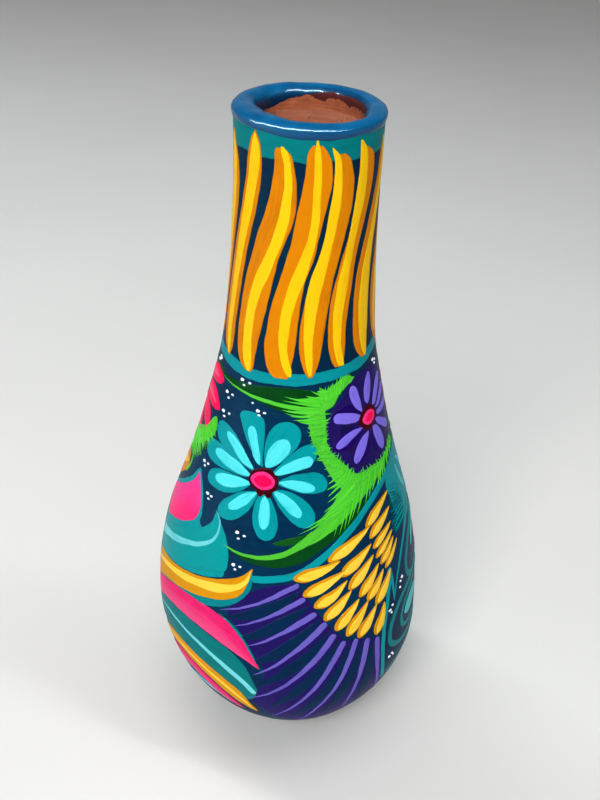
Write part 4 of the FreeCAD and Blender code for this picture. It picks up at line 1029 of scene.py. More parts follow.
FRONT = [
    ("B", "teal", 2, [(-17.5, 132), (-25, 136.1), (-32, 141.6), (-36.2, 145.8), (-37.7, 147.9), (-36, 149.4), (-31, 150.2), (-24.5, 150), (-20, 148.6), (-18.5, 145.1), (-18.2, 140.1), (-17.8, 135.1)]),
    ("B", "teal", 2, [(-15.5, 132.2), (-17.5, 137.6), (-16.8, 143.2), (-12.5, 147.4), (-7, 149.2), (-1, 148.9), (3.5, 146.8), (4.3, 144.1), (2.2, 140.4), (-2, 137.4), (-8, 134.1)]),
    ("B", "teal", 2, [(-11.5, 130.4), (-7, 134.1), (0, 138.5), (7, 141), (12, 141.2), (14, 139.1), (13.5, 136.1), (9.5, 133.4), (1, 131.5), (-7, 130)]),
    ("B", "teal", 2, [(-8.2, 127.1), (-2, 129.9), (6, 131.1), (13.5, 131.1), (18, 129.5), (19.8, 126.9), (18.5, 124.5), (13.5, 123.6), (5, 124.1), (-2, 125.4)]),
    ("B", "teal", 2, [(-10.5, 123.9), (-5, 124.9), (1, 123.9), (7, 121.6), (11, 118.5), (12.6, 115.1), (11.2, 112.2), (7, 111.4), (1.5, 113.1), (-3.5, 116.4), (-8, 120.4)]),
    ("B", "teal", 2, [(-15.5, 122.9), (-12, 122), (-8.8, 118.9), (-6.6, 114.5), (-6.2, 110.4), (-8, 107.2), (-11.5, 106), (-15.2, 106.8), (-18.2, 109.8), (-19.7, 114.5), (-19.2, 118.9), (-17.5, 121.6)]),
    ("B", "teal", 2, [(-18.2, 122.9), (-21.5, 122.6), (-27, 121.4), (-33, 118.6), (-38, 115.1), (-39.9, 112), (-38.8, 109.9), (-34, 109.2), (-28.5, 110.5), (-23.5, 113.9), (-20, 118.2)]),
    ("B", "teal", 2, [(-23.2, 124.9), (-30, 126.1), (-39, 125.9), (-47, 124.8), (-51.3, 122.9), (-52.4, 120.1), (-50.2, 118.2), (-43, 117.8), (-35, 118.8), (-28.5, 121.1)]),
    ("B", "teal", 2, [(-23.8, 127.6), (-31, 131), (-39, 133), (-48, 133.9), (-56, 133.5), (-60, 131.4), (-60.1, 128.6), (-55.5, 126.4), (-47, 125.8), (-37, 126.4), (-29, 126.6)]),
    ("B", "teal", 2, [(-22.8, 129.9), (-29, 135.1), (-36, 139.1), (-44, 141.6), (-51, 142.1), (-54.3, 140.6), (-54.4, 138.1), (-51.8, 135.4), (-45, 133.4), (-36, 132.1), (-28.5, 130.6)]),
    ("B", "cyan", 3, [(-19.2, 132.4), (-23, 134.1), (-26, 137.6), (-28.8, 141.1), (-30, 143.6), (-28.8, 145.1), (-26, 145.4), (-23.5, 143.6), (-21.5, 139.5), (-19.3, 135.4)]),
    ("B", "cyan", 3, [(-15.5, 132.2), (-16, 135.4), (-15, 138.6), (-12, 141.4), (-8, 142.9), (-4, 142.9), (-1.8, 141.1), (-2, 138.9), (-5, 136.1), (-10, 133.2)]),
    ("B", "cyan", 3, [(-10.5, 130.1), (-7, 132.9), (-1, 135.4), (5, 136.8), (10, 137), (11.8, 135.4), (10.5, 133.4), (5, 132.4), (-2, 131), (-7, 129.9)]),
    ("B", "cyan", 3, [(-7.2, 127.4), (-2, 128.6), (4, 128.6), (10, 127.4), (12.8, 125.8), (12, 124.4), (7, 124.2), (0, 125.4), (-5, 126.4)]),
    ("B", "cyan", 3, [(-9.5, 124.1), (-5, 123.9), (0, 122), (4, 119.5), (5.8, 117), (4.5, 115.1), (1, 115.9), (-3.5, 118.6), (-7.5, 121.4)]),
    ("B", "cyan", 3, [(-14.2, 122), (-11.8, 120.1), (-10.5, 115.8), (-10.7, 112), (-12.5, 109.9), (-14.8, 110.4), (-16.3, 113.2), (-16.4, 117.6), (-15.7, 120.8)]),
    ("B", "cyan", 3, [(-18.5, 122.6), (-23, 122), (-28, 119.9), (-32.5, 116.6), (-34, 114.5), (-32.5, 113.4), (-28.5, 114.2), (-23.8, 117), (-20.5, 120.1)]),
    ("B", "cyan", 3, [(-22.8, 125.1), (-29, 126), (-36, 125.6), (-43, 124.2), (-46.4, 122.6), (-45.8, 120.8), (-41, 120.1), (-34, 121.1), (-28, 122.9)]),
    ("B", "cyan", 3, [(-23.8, 127.9), (-31, 130.8), (-39, 132), (-47, 132.4), (-51, 131.4), (-50.5, 129.4), (-45, 128.2), (-36, 127.2), (-29, 127)]),
    ("B", "cyan", 3, [(-22.8, 130.4), (-29, 135.1), (-35, 138.2), (-41, 139.9), (-44.8, 139.6), (-44.7, 138.1), (-40, 135.8), (-34, 132.9), (-28.5, 130.9)]),
    ("B", "maroon", 4, [(-24.7, 127), (-23, 129.9), (-19.5, 131.2), (-15.5, 131.9), (-11.5, 131.4), (-9, 129.8), (-7.4, 127), (-8.4, 124.5), (-10.7, 123.4), (-11, 121.9), (-13, 121.2), (-14.9, 122.5), (-16.4, 121.2), (-18.6, 121.9), (-19.9, 123.6), (-22.9, 124.4)]),
    ("B", "heart", 5, [(-23.6, 127.2), (-21, 129.6), (-16, 130.6), (-11.5, 129.6), (-9.2, 127.2), (-11.2, 124.9), (-16, 123.8), (-21, 124.9)]),
    ("B", "pink", 6, [(-21.4, 127.1), (-19.2, 128.8), (-15.8, 129.5), (-12.4, 128.6), (-10.8, 127.1), (-12.8, 125.6), (-16.2, 124.8), (-19.8, 125.5)]),
    ("B", "violet", 1, [(21, 147), (23, 150.8), (27, 153.6), (34, 156.6), (38, 160.4), (48, 162), (61, 162.6), (73, 161.4), (84, 157.6), (90, 151.4), (90, 141.4), (85, 133.9), (75, 129.5), (63, 126.6), (50, 127), (40, 126.6), (35, 129.9), (29, 133.9), (23, 136.4), (21.5, 141.4)]),
    ("S", "indigo", 2, "leaf", 7, [(48, 147.4), (38, 149.1), (23, 149.9)]),
    ("S", "indigo", 2, "leaf", 7, [(48, 142), (37, 140.4), (24, 138.6)]),
    ("S", "indigo", 2, "leaf", 7, [(53, 139.5), (46, 133.9), (37, 130.8)]),
    ("S", "indigo", 2, "leaf", 7, [(58, 139.5), (61, 133.9), (66, 128.2)]),
    ("B", "lavender", 3, [(47.5, 147), (42, 148.9), (34, 150.4), (28, 150.8), (25.5, 149.5), (26.2, 147.6), (31, 146.6), (38, 145.8), (45, 145.5)]),
    ("B", "lavender", 3, [(48, 142.4), (42, 143.2), (35, 142.6), (29, 141.1), (26.2, 139.1), (27.5, 137.9), (32, 138.1), (39, 140.1), (45, 141.4)]),
    ("B", "lavender", 3, [(53.2, 139.9), (48, 139.5), (43, 137.4), (39, 134.1), (37.8, 131.8), (39.5, 130.5), (43.5, 131.4), (48, 134.1), (51.5, 137.4)]),
    ("B", "lavender", 3, [(58, 140.4), (62, 140.1), (66, 137), (68.2, 133.2), (67.5, 130.4), (64.5, 129.6), (61, 131.6), (58.5, 135.1), (57.2, 138.2)]),
    ("B", "lavender", 3, [(62, 142.4), (66, 142), (72, 139.9), (78, 137.6), (80.5, 135.6), (78.5, 134.1), (73.5, 135.4), (67, 138.2), (63, 140.4)]),
    ("B", "lavender", 3, [(64, 144.5), (70, 144.9), (77, 145.4), (84, 145.1), (85, 143.9), (79, 142.4), (71, 142.6), (65, 143.1)]),
    ("B", "lavender", 3, [(63.2, 146.4), (68, 147.9), (74, 150.4), (80, 151.6), (83.5, 150.8), (81, 148.9), (75, 147.4), (68, 145.8)]),
    ("B", "lavender", 3, [(60.5, 148.1), (64, 152), (70, 155.8), (76, 157.4), (78, 156.4), (75.5, 153.6), (70, 150.8), (64, 147.9)]),
    ("B", "lavender", 3, [(55, 149.9), (52.5, 151.4), (52.8, 155.1), (56, 158.9), (60, 160.9), (62.2, 160.1), (62.2, 157), (59.8, 153.2), (56.8, 150.4)]),
    ("B", "lavender", 3, [(49, 148.2), (45, 149.5), (41, 152.6), (38.8, 156.1), (39.2, 158.2), (42, 159.1), (45.5, 157.9), (47.5, 154.5), (49, 150.8)]),
    ("B", "maroon", 4, [(44.5, 145.1), (47.5, 147.6), (51.5, 148.9), (55.5, 149.2), (60, 148.2), (64, 145.8), (63.8, 143.2), (60.5, 142), (56, 140.4), (52, 140.4), (47.5, 142.4)]),
    ("B", "heart", 5, [(48, 144.8), (51, 146.9), (56, 147.6), (60, 146.6), (61.4, 144.9), (59.5, 142.9), (55, 142), (50.5, 142.9)]),
    ("B", "pink", 6, [(51.2, 144.8), (53.2, 146), (56.2, 146.4), (58.8, 145.6), (59.1, 144.6), (57.2, 143.6), (54.2, 143.1), (51.8, 143.6)]),
    ("B", "darkgreen", 1, [(-61.5, 157.4), (-50, 158.6), (-35, 159.4), (-23, 160.4), (-10, 161.1), (5, 160.9), (15, 159.4), (23, 156.4), (20, 151.4), (10, 151.1), (-2, 152), (-13, 153.1), (-25, 154.4), (-39, 155.4), (-52, 156.1)]),
    ("S", "green", 3, "tear2", 1.9, [(-62, 156.8), (-43, 156.2), (-25, 155.6), (-9, 154.9), (6, 153.6), (14, 151.6)]),
    ("L", "green", 2, [(43.7, 162.2, 43.7, 161.6), (40, 163.2, 40.5, 160.8), (35, 163.4, 36.5, 159.4), (30, 162, 31.5, 157.6), (25, 161.1, 28.5, 155.9), (20, 159.5, 26.8, 154.4), (15, 157.6, 24, 153.4), (11.2, 155.4, 20.5, 152.5), (9.2, 152.6, 20, 151.4), (8.2, 149.8, 20.5, 149.8), (9.2, 147, 20.2, 147), (10.4, 143.9, 20.2, 143.9), (11.8, 141.4, 20.8, 141.4), (13.5, 138.9, 22, 138.9), (15.5, 136.4, 24.5, 136.4), (18, 133.9, 28, 134.2), (20, 131.4, 31.5, 132), (22.5, 128.2, 35, 128.9), (26, 125.1, 37, 125.8), (30, 122.6, 37, 122.6)]),
    ("L", "green", 2, [(80, 130.4, 80, 129.6), (75, 129.2, 75, 127.9), (70, 127.9, 70, 126.4), (65, 127.1, 65, 125.1), (60, 126.5, 60, 123.8), (55, 126.7, 56, 122.3), (50, 127.1, 51.5, 120.8), (45, 126.7, 47, 119.5), (40, 126.9, 42.5, 118.1), (36, 127.9, 38, 116.7), (32.5, 128.9, 35, 115.8)]),
    ("L", "green", 2, [(40, 125.8, 43, 120.1), (35, 128.2, 39, 117.6), (30, 125.8, 35, 115.2), (26, 122.3, 31, 113.6), (22.5, 118.9, 26.5, 111.4), (18.5, 114.8, 22, 109.5), (14, 111.7, 16.5, 107.3), (9, 109.2, 10.5, 105.4), (4, 106.4, 5, 103.6), (0, 103.6, 0.3, 102.8)]),
    ("F", "lime", 4, 1.5, [(17, 154.9), (22, 155.8), (26.5, 156.4), (31, 158.2), (37, 160.8)], [(16.2, 160.9), (23, 161.5), (29, 162.9), (36, 163.9), (44, 162.4)], 15),
    ("F", "lime", 4, 1.7, [(15, 147.9), (15, 150.8), (16, 152.6), (17, 154.2), (18, 155.5), (19, 156.8), (21, 158.2), (23, 159.5)], [(8.5, 147.4), (4.5, 148.6), (1.5, 149.5), (-2.5, 150.5), (-3.5, 152), (-10.5, 153.1), (-10, 155.5), (-7, 158.4), (-1, 157.6), (5, 158.4), (11.2, 159.9), (16.8, 161.2)], 17),
    ("F", "lime", 4, 1.2, [(12.5, 147), (14.2, 143.9), (16.2, 141.4), (17.2, 138.6), (19, 135.8), (21, 134.9)], [(7.6, 147.4), (9, 143.9), (10.2, 141.4), (11.2, 138.6), (14, 135.4), (16.6, 134.4)], 11),
    ("F", "lime", 4, 1.1, [(18, 150.8), (17.5, 146.4), (17.8, 143.9), (18.2, 141.4), (20, 137.6), (23, 134.5)], [(24.6, 151.1), (22.2, 147), (21.6, 143.9), (21.8, 141.1), (24, 138.6), (27.2, 136.4)], 13),
    ("F", "lime", 4, 1.4, [(24, 132.6), (27.5, 130.1), (31.5, 127), (35, 124.5), (43, 123.6)], [(27.4, 136.1), (31.2, 133.9), (35, 131.1), (38.5, 127.6), (45, 128.1)], 13),
    ("F", "lime", 4, 1.9, [(27.5, 132.6), (31.5, 128.9), (35, 125.8), (37.5, 122.6), (38, 118.9)], [(16.8, 133.9), (19, 131.6), (19.2, 128.2), (19.8, 124.5), (19.4, 120.4), (14.2, 114.5), (8, 111.1), (3.5, 109.1)], 13),
    ("F", "lime", 4, 1.6, [(29, 120.8), (38, 122.4), (48, 124.5), (59, 125.4), (70, 127), (81, 129.1)], [(21, 106.9), (24.2, 106.6), (33.5, 111.6), (40, 115.1), (48, 117.9), (58, 119.9), (69, 123.1), (80, 126.1)], 19),
    ("F", "lime", 4, 1.2, [(47, 124.5), (55, 124.5), (65, 125.8), (77, 128.6)], [(44.2, 127.9), (53.2, 128.1), (64.2, 128.1), (76.2, 131.1)], 13),
    ("F", "green2", 5, 1, [(9.5, 150.8), (10.2, 147), (11.2, 143.9), (12.5, 140.8), (14.5, 137.6), (17, 134.9), (20, 132.4)], [(20, 151.1), (21, 147), (20.8, 143.9), (21, 140.8), (23, 137.6), (26, 134.9), (29, 132.6)], 15),
    ("F", "lime", 5, 0.9, [(20, 150.1), (20.5, 145.1), (20.5, 141.4), (22.5, 137.6), (26.5, 133.9)], [(11, 149.4), (12, 144.9), (13.2, 141.1), (16, 137.4), (20, 133.4)], 12),
    ("S", "lime", 3, "leaf", 2.6, [(40, 123.2), (32, 118.9), (23, 113.2), (14, 108.9)]),
    ("S", "green2", 3, "leaf", 1.4, [(38, 120.1), (30, 117), (23, 112.4)]),
    ("S", "lime", 3, "leaf", 2, [(34, 123.9), (47, 124.9), (61, 125.8), (75, 127.6)]),
    ("B", "darkgreen", 1, [(-31, 99.9), (-23, 99.1), (-13, 99.4), (-5, 101.4), (1, 105.1), (8, 109.1), (15, 111.4), (23, 113.9), (35, 115.1), (45, 117.6), (49, 116.4), (43, 112.6), (34, 109.5), (26, 107), (17, 103.9), (9, 100.1), (0, 97.4), (-10, 96.6), (-21, 97.4)]),
    ("B", "darkgreen2", 1, [(-8, 105.4), (-1, 107.6), (7, 109.1), (14, 111.1), (13, 109.5), (6, 107), (-2, 104.9)]),
    ("S", "green2", 3, "tear2", 3.3, [(-33, 100.6), (-25, 99.4), (-15, 99.4), (-5, 101.1), (5, 104.9), (14, 109.9), (23, 115.1), (31, 120.1)]),
    ("S", "teal", 2, "round", 2.8, [(-16, 91.1), (-5, 92.5), (5, 94.9), (15, 99.6), (25, 105), (35, 110.1), (45, 114.8), (55, 118.2), (65, 120.8), (75, 122.9), (85, 125.1)]),
    ("B", "violet", 1, [(-15, 86.1), (-9, 89.1), (-1, 90.8), (4, 91.4), (6, 88.9), (11, 82.6), (16, 75.8), (21, 69.5), (26, 64.1), (31.5, 62.6), (37, 60.8), (42.2, 58.9), (45, 53.9), (45.5, 43.9), (49, 31.4), (54, 21.4), (35, 10.1), (10, 11.4), (-5, 18.9), (-15, 31.4), (-12, 38.9), (-8, 51.4), (-13, 60.1), (-19, 68.9), (-25, 75.1)]),
    ("S", "navy", 2, "leaf", 4.8, [(6, 88.2), (-2, 83.2), (-15, 76.4), (-26, 72.4)]),
    ("S", "navy", 2, "leaf", 4.8, [(10.2, 82.4), (1, 76.4), (-11, 68.6), (-20, 64.9)]),
    ("S", "navy", 2, "leaf", 4.8, [(15, 76.4), (6, 68.2), (-5, 59.5), (-15, 53.9)]),
    ("S", "navy", 2, "leaf", 4.8, [(19.2, 70.8), (11, 60.8), (0, 51.4), (-12, 42.6)]),
    ("S", "navy", 2, "leaf", 4.8, [(23.5, 65.8), (16, 53.9), (5, 41.4), (-7, 28.9)]),
    ("S", "navy", 2, "leaf", 4.8, [(28.6, 62.6), (23, 48.9), (14, 33.9), (3, 20.1)]),
    ("S", "navy", 2, "leaf", 4.8, [(34, 61.1), (30, 47.6), (23, 31.4), (18, 18.9)]),
    ("S", "navy", 2, "leaf", 4.8, [(39.5, 59.1), (38, 45.1), (37.5, 31.4), (38, 18.9)]),
    ("S", "lavender2", 3, "fat", 2.3, [(5.2, 90.9), (-2, 87.4), (-9, 83.4), (-19, 78.6), (-29, 74.6)]),
    ("S", "lavender2", 3, "fat", 2.5, [(8, 85.4), (1, 81.6), (-7, 77.1), (-15, 72.9), (-21.7, 69.8)]),
    ("S", "lavender2", 3, "fat", 2.9, [(12.8, 79.1), (5, 74.4), (-3, 69.4), (-10, 65.1), (-15.5, 62.4)]),
    ("S", "lavender2", 3, "fat", 3.1, [(17.2, 74.4), (10, 67.4), (3, 61.1), (-5, 54.1), (-13, 48.6)]),
    ("S", "lavender2", 3, "fat", 3.1, [(21, 68.6), (15, 60.4), (8, 52.6), (-1, 43.9), (-9, 37.6), (-17, 32.6)]),
    ("S", "lavender2", 3, "fat", 2.9, [(25.5, 64.1), (21, 56.4), (16, 47.6), (9, 37.6), (1, 27.6), (-7, 18.9)]),
    ("S", "lavender2", 3, "fat", 2.8, [(31.2, 63.2), (28.2, 55.1), (24, 45.1), (18, 33.9), (12.5, 23.9), (8, 13.9)]),
    ("S", "lavender2", 3, "fat", 3.1, [(36.6, 61.1), (35.5, 53.9), (33.5, 45.1), (31.2, 35.1), (29.5, 26.4), (28.5, 18.9)]),
    ("S", "lavender2", 3, "fat", 3, [(42, 59.1), (42.4, 51.4), (43, 43.9), (45, 35.1), (48, 26.4), (51.5, 18.9)]),
    ("S", "amber", 4, "feather", 5.2, [(2.6, 92.9), (13, 95.1), (24.4, 97.9)]),
    ("S", "yellow2", 5, "feather", 3.9, [(4.3, 93.1), (13.4, 94.7), (24.2, 97.8)]),
    ("S", "amber", 4, "feather", 5.2, [(7, 86.4), (16, 89.9), (26.8, 93.9)]),
    ("S", "yellow2", 5, "feather", 3.9, [(8.6, 86.7), (16.4, 89.4), (26.6, 93.8)]),
    ("S", "amber", 4, "feather", 5, [(11.8, 81.4), (19.5, 84.9), (27.2, 89.9)]),
    ("S", "yellow2", 5, "feather", 3.75, [(13.1, 81.8), (19.9, 84.4), (27, 89.8)]),
    ("S", "amber", 4, "feather", 5.2, [(16.2, 75.4), (22.2, 80.1), (29, 85.6)]),
    ("S", "yellow2", 5, "feather", 3.9, [(17.4, 75.9), (22.6, 79.7), (28.9, 85.5)]),
    ("S", "amber", 4, "feather", 5.4, [(21.3, 69.9), (26.2, 74.9), (32.6, 80.9)]),
    ("S", "yellow2", 5, "feather", 4.05, [(22.4, 70.4), (26.6, 74.4), (32.5, 80.8)]),
    ("S", "amber", 4, "feather", 5.4, [(26.4, 65.9), (31.2, 71.6), (37.2, 78.4)]),
    ("S", "yellow2", 5, "feather", 4.05, [(27.4, 66.5), (31.6, 71.2), (37.1, 78.2)]),
    ("S", "amber", 4, "feather", 5.3, [(32, 63.1), (36.8, 68.9), (41.8, 74.9)]),
    ("S", "yellow2", 5, "feather", 3.975, [(33, 63.7), (37.2, 68.4), (41.7, 74.8)]),
    ("S", "amber", 4, "feather", 5.2, [(41.2, 60.4), (44.2, 66.4), (46.6, 73.6)]),
    ("S", "yellow2", 5, "feather", 3.9, [(41.9, 61), (44.6, 65.9), (46.5, 73.5)]),
    ("S", "amber", 4, "feather", 5, [(18.2, 98.6), (29, 102.4), (42.6, 106.6)]),
    ("S", "yellow2", 5, "feather", 3.75, [(20.1, 99), (29.4, 101.9), (42.4, 106.5)]),
    ("S", "amber", 4, "feather", 5.2, [(24, 92.1), (31.8, 95.6), (41.8, 99.9)]),
    ("S", "yellow2", 5, "feather", 3.9, [(25.5, 92.5), (32.2, 95.2), (41.6, 99.8)]),
    ("S", "amber", 4, "feather", 5, [(27.5, 86), (34.2, 90.4), (42.2, 95.5)]),
    ("S", "yellow2", 5, "feather", 3.75, [(28.8, 86.4), (34.6, 89.9), (42.1, 95.4)]),
    ("S", "amber", 4, "feather", 4.6, [(32.6, 81.4), (38.5, 86.1), (44.8, 91.1)]),
    ("S", "yellow2", 5, "feather", 3.45, [(33.7, 81.8), (38.9, 85.7), (44.7, 91)]),
    ("S", "amber", 4, "feather", 4.6, [(36.6, 78.4), (42, 82.6), (47.4, 87.6)]),
    ("S", "yellow2", 5, "feather", 3.45, [(37.6, 78.8), (42.4, 82.2), (47.3, 87.5)]),
    ("S", "amber", 4, "feather", 5.2, [(41.4, 74.6), (46.8, 79.9), (52.2, 85.8)]),
    ("S", "yellow2", 5, "feather", 3.9, [(42.4, 75.2), (47.2, 79.4), (52.1, 85.6)]),
    ("S", "amber", 4, "feather", 4.4, [(39.8, 106.6), (49.5, 110.9), (60.4, 114.2)]),
    ("S", "yellow2", 5, "feather", 3.3, [(41.4, 107), (49.9, 110.5), (60.2, 114.2)]),
    ("S", "amber", 4, "feather", 4.2, [(41.2, 102.1), (49.8, 105.4), (59.4, 108.4)]),
    ("S", "yellow2", 5, "feather", 3.15, [(42.7, 102.4), (50.2, 105), (59.2, 108.3)]),
    ("S", "amber", 4, "feather", 3.6, [(42.4, 97.6), (49.8, 100.4), (58, 102.9)]),
    ("S", "yellow2", 5, "feather", 2.7, [(43.7, 97.8), (50.2, 100.1), (57.8, 102.8)]),
    ("S", "amber", 4, "feather", 3.3, [(43.4, 93.6), (50.2, 96.4), (57.6, 99.5)]),
    ("S", "yellow2", 5, "feather", 2.475, [(44.7, 93.9), (50.6, 96.1), (57.5, 99.4)]),
    ("S", "amber", 4, "feather", 3.6, [(45.8, 90.1), (51.6, 93.1), (57.6, 96.9)]),
    ("S", "yellow2", 5, "feather", 2.7, [(46.9, 90.4), (52, 92.8), (57.5, 96.8)]),
    ("S", "amber", 4, "feather", 3.1, [(48.6, 87.2), (54.2, 90.6), (60.4, 94.6)]),
    ("S", "yellow2", 5, "feather", 2.325, [(49.7, 87.6), (54.6, 90.4), (60.3, 94.6)]),
    ("B", "teal", 1, [(-95, 88.9), (-84, 92.6), (-71, 97.6), (-59, 103.9), (-51, 106.4), (-48, 102.6), (-39, 98.9), (-31, 93.9), (-29, 88.9), (-35, 86.1), (-45, 83.2), (-55, 80.6), (-65, 78.1), (-75, 74.9), (-85, 69.5), (-92, 68.9), (-95, 77.6)]),
    ("B", "teal", 1, [(-91, 100.1), (-84, 104.1), (-75, 109.1), (-67.5, 113.9), (-62.5, 118.9), (-60.5, 119.9), (-57.5, 117.9), (-53, 113.6), (-49.8, 108.6), (-48.8, 105.1), (-50.4, 101.4), (-55.5, 97.9), (-65, 94.1), (-77, 90.1), (-86, 86.1), (-93, 89.5)]),
    ("B", "tulip", 2, [(-93, 97.4), (-86, 101.6), (-76, 106.4), (-68, 110.8), (-62.5, 115.1), (-60.8, 118.6), (-57.8, 116.1), (-53.8, 111.9), (-51, 107), (-52, 103.1), (-57, 99.6), (-65, 95.9), (-75, 92.1), (-85, 88.1), (-92, 88.9)]),
    ("B", "flatteal", 2, [(-89, 81.4), (-83, 85.4), (-73, 90.4), (-63, 94.5), (-53, 98.9), (-45, 102.6), (-41, 106.4), (-40, 109.9), (-36, 107.4), (-32, 103.9), (-29, 99.5), (-27.8, 95.1), (-28.6, 90.8), (-35, 88.1), (-45, 85.1), (-55, 82.4), (-65, 80.1), (-75, 76.9), (-84, 72.4), (-89, 75.1)]),
    ("S", "palecyan", 3, "tear2", 4, [(-40.5, 110.6), (-37.5, 108.6), (-36, 105.9), (-36.2, 102.6), (-39, 99.1), (-45, 95.6), (-55, 91.8), (-65, 88.1), (-75, 84.6), (-86, 79.9), (-97, 75.8)]),
    ("B", "teal3", 1, [(-15.8, 93.4), (-15.3, 88.1), (-18.7, 82.2), (-25.9, 77.1), (-34.4, 73.8), (-43.1, 71.5), (-53, 69.6), (-63, 67.4), (-72, 63.9), (-78, 62.6), (-72, 68.9), (-63, 72.4), (-50, 76.4), (-35, 81.4), (-23, 87), (-17.8, 92)]),
    ("B", "amber", 3, [(-91.5, 64.9), (-79, 73.6), (-70, 76.6), (-61, 78.9), (-51, 81.4), (-41, 83.9), (-31, 86.9), (-23, 89.9), (-18.5, 92.6), (-15.8, 94.9), (-16.5, 90.8), (-18.2, 86.1), (-21, 82.6), (-27, 79.5), (-35, 77), (-45, 74.4), (-55, 71.9), (-65, 68.9), (-75, 63.9), (-90, 54.9)]),
    ("S", "yellow2", 4, "curl", 3.9, [(-16.3, 94.4), (-18, 89.5), (-23, 85.9), (-31, 83.2), (-41, 80.9), (-51, 78.6), (-61, 76.1), (-71, 72.9), (-80, 69.1), (-89, 64.9)]),
    ("B", "leafpink", 3, [(-90, 52), (-76, 62.4), (-68, 67), (-59, 70.4), (-50, 72.4), (-41, 73.2), (-33, 73.1), (-26, 71.4), (-21, 68.2), (-17, 64.4), (-13.5, 58.9), (-10.2, 52.4), (-15, 54.9), (-21, 57.6), (-29, 60.4), (-37, 62), (-45, 62.4), (-53, 62), (-61, 60.6), (-69, 57.6), (-77, 52.9), (-89.5, 45.1)]),
    ("B", "lowteal", 2, [(-89, 42), (-72, 55.8), (-63, 59.9), (-53, 61.9), (-43, 62), (-33, 60.8), (-25, 58.6), (-19, 55.1), (-15, 50.1), (-12.8, 43.9), (-11.8, 38.9), (-15, 38.9), (-18, 40.8), (-25, 43.9), (-33, 46.6), (-43, 48.2), (-53, 48.9), (-63, 48.2), (-73, 44.9), (-88, 34.5)]),
    ("S", "teal3", 2, "leaf", 1.3, [(-29.5, 73.1), (-23.4, 70.5), (-18.8, 66.8), (-14.9, 61.4), (-11.9, 55.9), (-9.3, 50.9)]),
    ("S", "palecyan", 3, "fat", 3.3, [(-13, 37), (-16, 41.4), (-21, 45.8), (-29, 50.4), (-37, 53.4), (-47, 55.1), (-57, 55.6), (-67, 54.1), (-77, 49.5)]),
    ("B", "lowteal", 1, [(-65, 50.4), (-53, 51.1), (-43, 50.8), (-33, 48.9), (-23, 45.4), (-15, 40.4), (-12.4, 37.6), (-15, 32.6), (-18, 31.4), (-25, 37), (-35, 42.4), (-47, 44.9), (-57, 44.9), (-65, 43.1)]),
    ("B", "amber", 3, [(-82, 32.6), (-63, 45.6), (-53, 47.4), (-43, 46.4), (-33, 43.6), (-25, 39.6), (-19.8, 35.4), (-16.8, 28.9), (-14, 21.4), (-21, 25.1), (-27, 29.5), (-35, 35.4), (-45, 39.5), (-55, 40.8), (-65, 38.9), (-80.5, 27)]),
    ("S", "yellow2", 4, "curl", 2.4, [(-15, 23.1), (-21, 30.8), (-29, 37), (-39, 41.6), (-49, 43.9), (-59, 43.6), (-69, 39.9)]),
    ("B", "leafpink", 3, [(-78.5, 24.5), (-61, 37.6), (-52, 39.4), (-43, 37.6), (-35, 33.6), (-27, 27), (-22, 20.1), (-31, 22.6), (-41, 28.9), (-51, 32.6), (-61, 31.4), (-76, 20.1)]),
    ("S", "cyan", 3, "leaf", 1.4, [(-25, 21.4), (-35, 24.9), (-47, 27.6), (-57, 26.4)]),
    ("B", "pink", 2, [(-99, 148.9), (-93, 152), (-85, 155.6), (-77, 157.4), (-69, 157.6), (-63, 156.4), (-60.2, 154.9), (-64, 152.6), (-71, 151.4), (-80, 150.4), (-89, 148.6)]),
    ("B", "pink", 2, [(-99, 144.5), (-91, 147), (-82, 149.1), (-73, 149.9), (-65, 148.9), (-60, 146.6), (-57.2, 144.5), (-62, 143.1), (-70, 142.9), (-80, 142.9), (-91, 142.9)]),
    ("B", "pink", 2, [(-99, 141.4), (-89, 142), (-79, 142.4), (-71, 141.4), (-66, 138.2), (-64, 135.4), (-68, 133.6), (-75, 134.9), (-83, 136.9), (-93, 138.2)]),
    ("B", "pink", 2, [(-101, 137.6), (-93, 137.6), (-86, 135.4), (-80, 132), (-78, 129.5), (-83, 128.2), (-89, 129.5), (-96, 132.6)]),
    ("S", "rose", 3, "leaf", 2.4, [(-92, 150.8), (-80, 153.6), (-66, 154.6)]),
    ("S", "rose", 3, "leaf", 2.4, [(-92, 144.9), (-77, 146.4), (-62, 145.4)]),
    ("B", "darkgreen", 1, [(-61, 156.6), (-75, 157.9), (-89, 156.4), (-101, 153.9), (-101, 156.4), (-89, 158.4), (-75, 159.6), (-62, 158.6)]),
    ("B", "darkgreen", 1, [(-95, 123.9), (-85, 128.2), (-73, 132), (-63, 135.8), (-56.5, 135.4), (-58, 130.8), (-63, 126.4), (-68, 122.6), (-73, 119.5), (-83, 117.6), (-93, 117.6)]),
    ("B", "green", 2, [(-95, 125.4), (-85, 129.1), (-75, 132.4), (-66, 136.1), (-62, 140.1), (-58, 141.4), (-55.2, 137.6), (-57, 133.9), (-62, 130.8), (-67, 127.6), (-73, 125.1), (-83, 122.6), (-93, 122)]),
    ("F", "lime", 4, 1.2, [(-92, 123.9), (-83, 127.6), (-73, 131.4), (-65, 135.1), (-60, 138.6)], [(-89, 117.6), (-78, 118.2), (-68, 122), (-62, 127), (-56.5, 130.8), (-54.5, 135.4), (-54.8, 138.9)], 30),
    ("S", "lime", 4, "tear2", 1.3, [(-86, 125.1), (-80, 124.5), (-76, 120.8), (-74.5, 115.8), (-78.5, 111.1)]),
    ("B", "orange", 2, [(-98, 111.4), (-92, 115.1), (-86, 117), (-80, 116.4), (-76.5, 113.9), (-80, 110.1), (-86, 106.4), (-92, 102.6), (-98, 100.1)]),
    ("S", "yellow", 3, "leaf", 3.4, [(-98, 107.6), (-90, 111.1), (-80, 114.4)]),
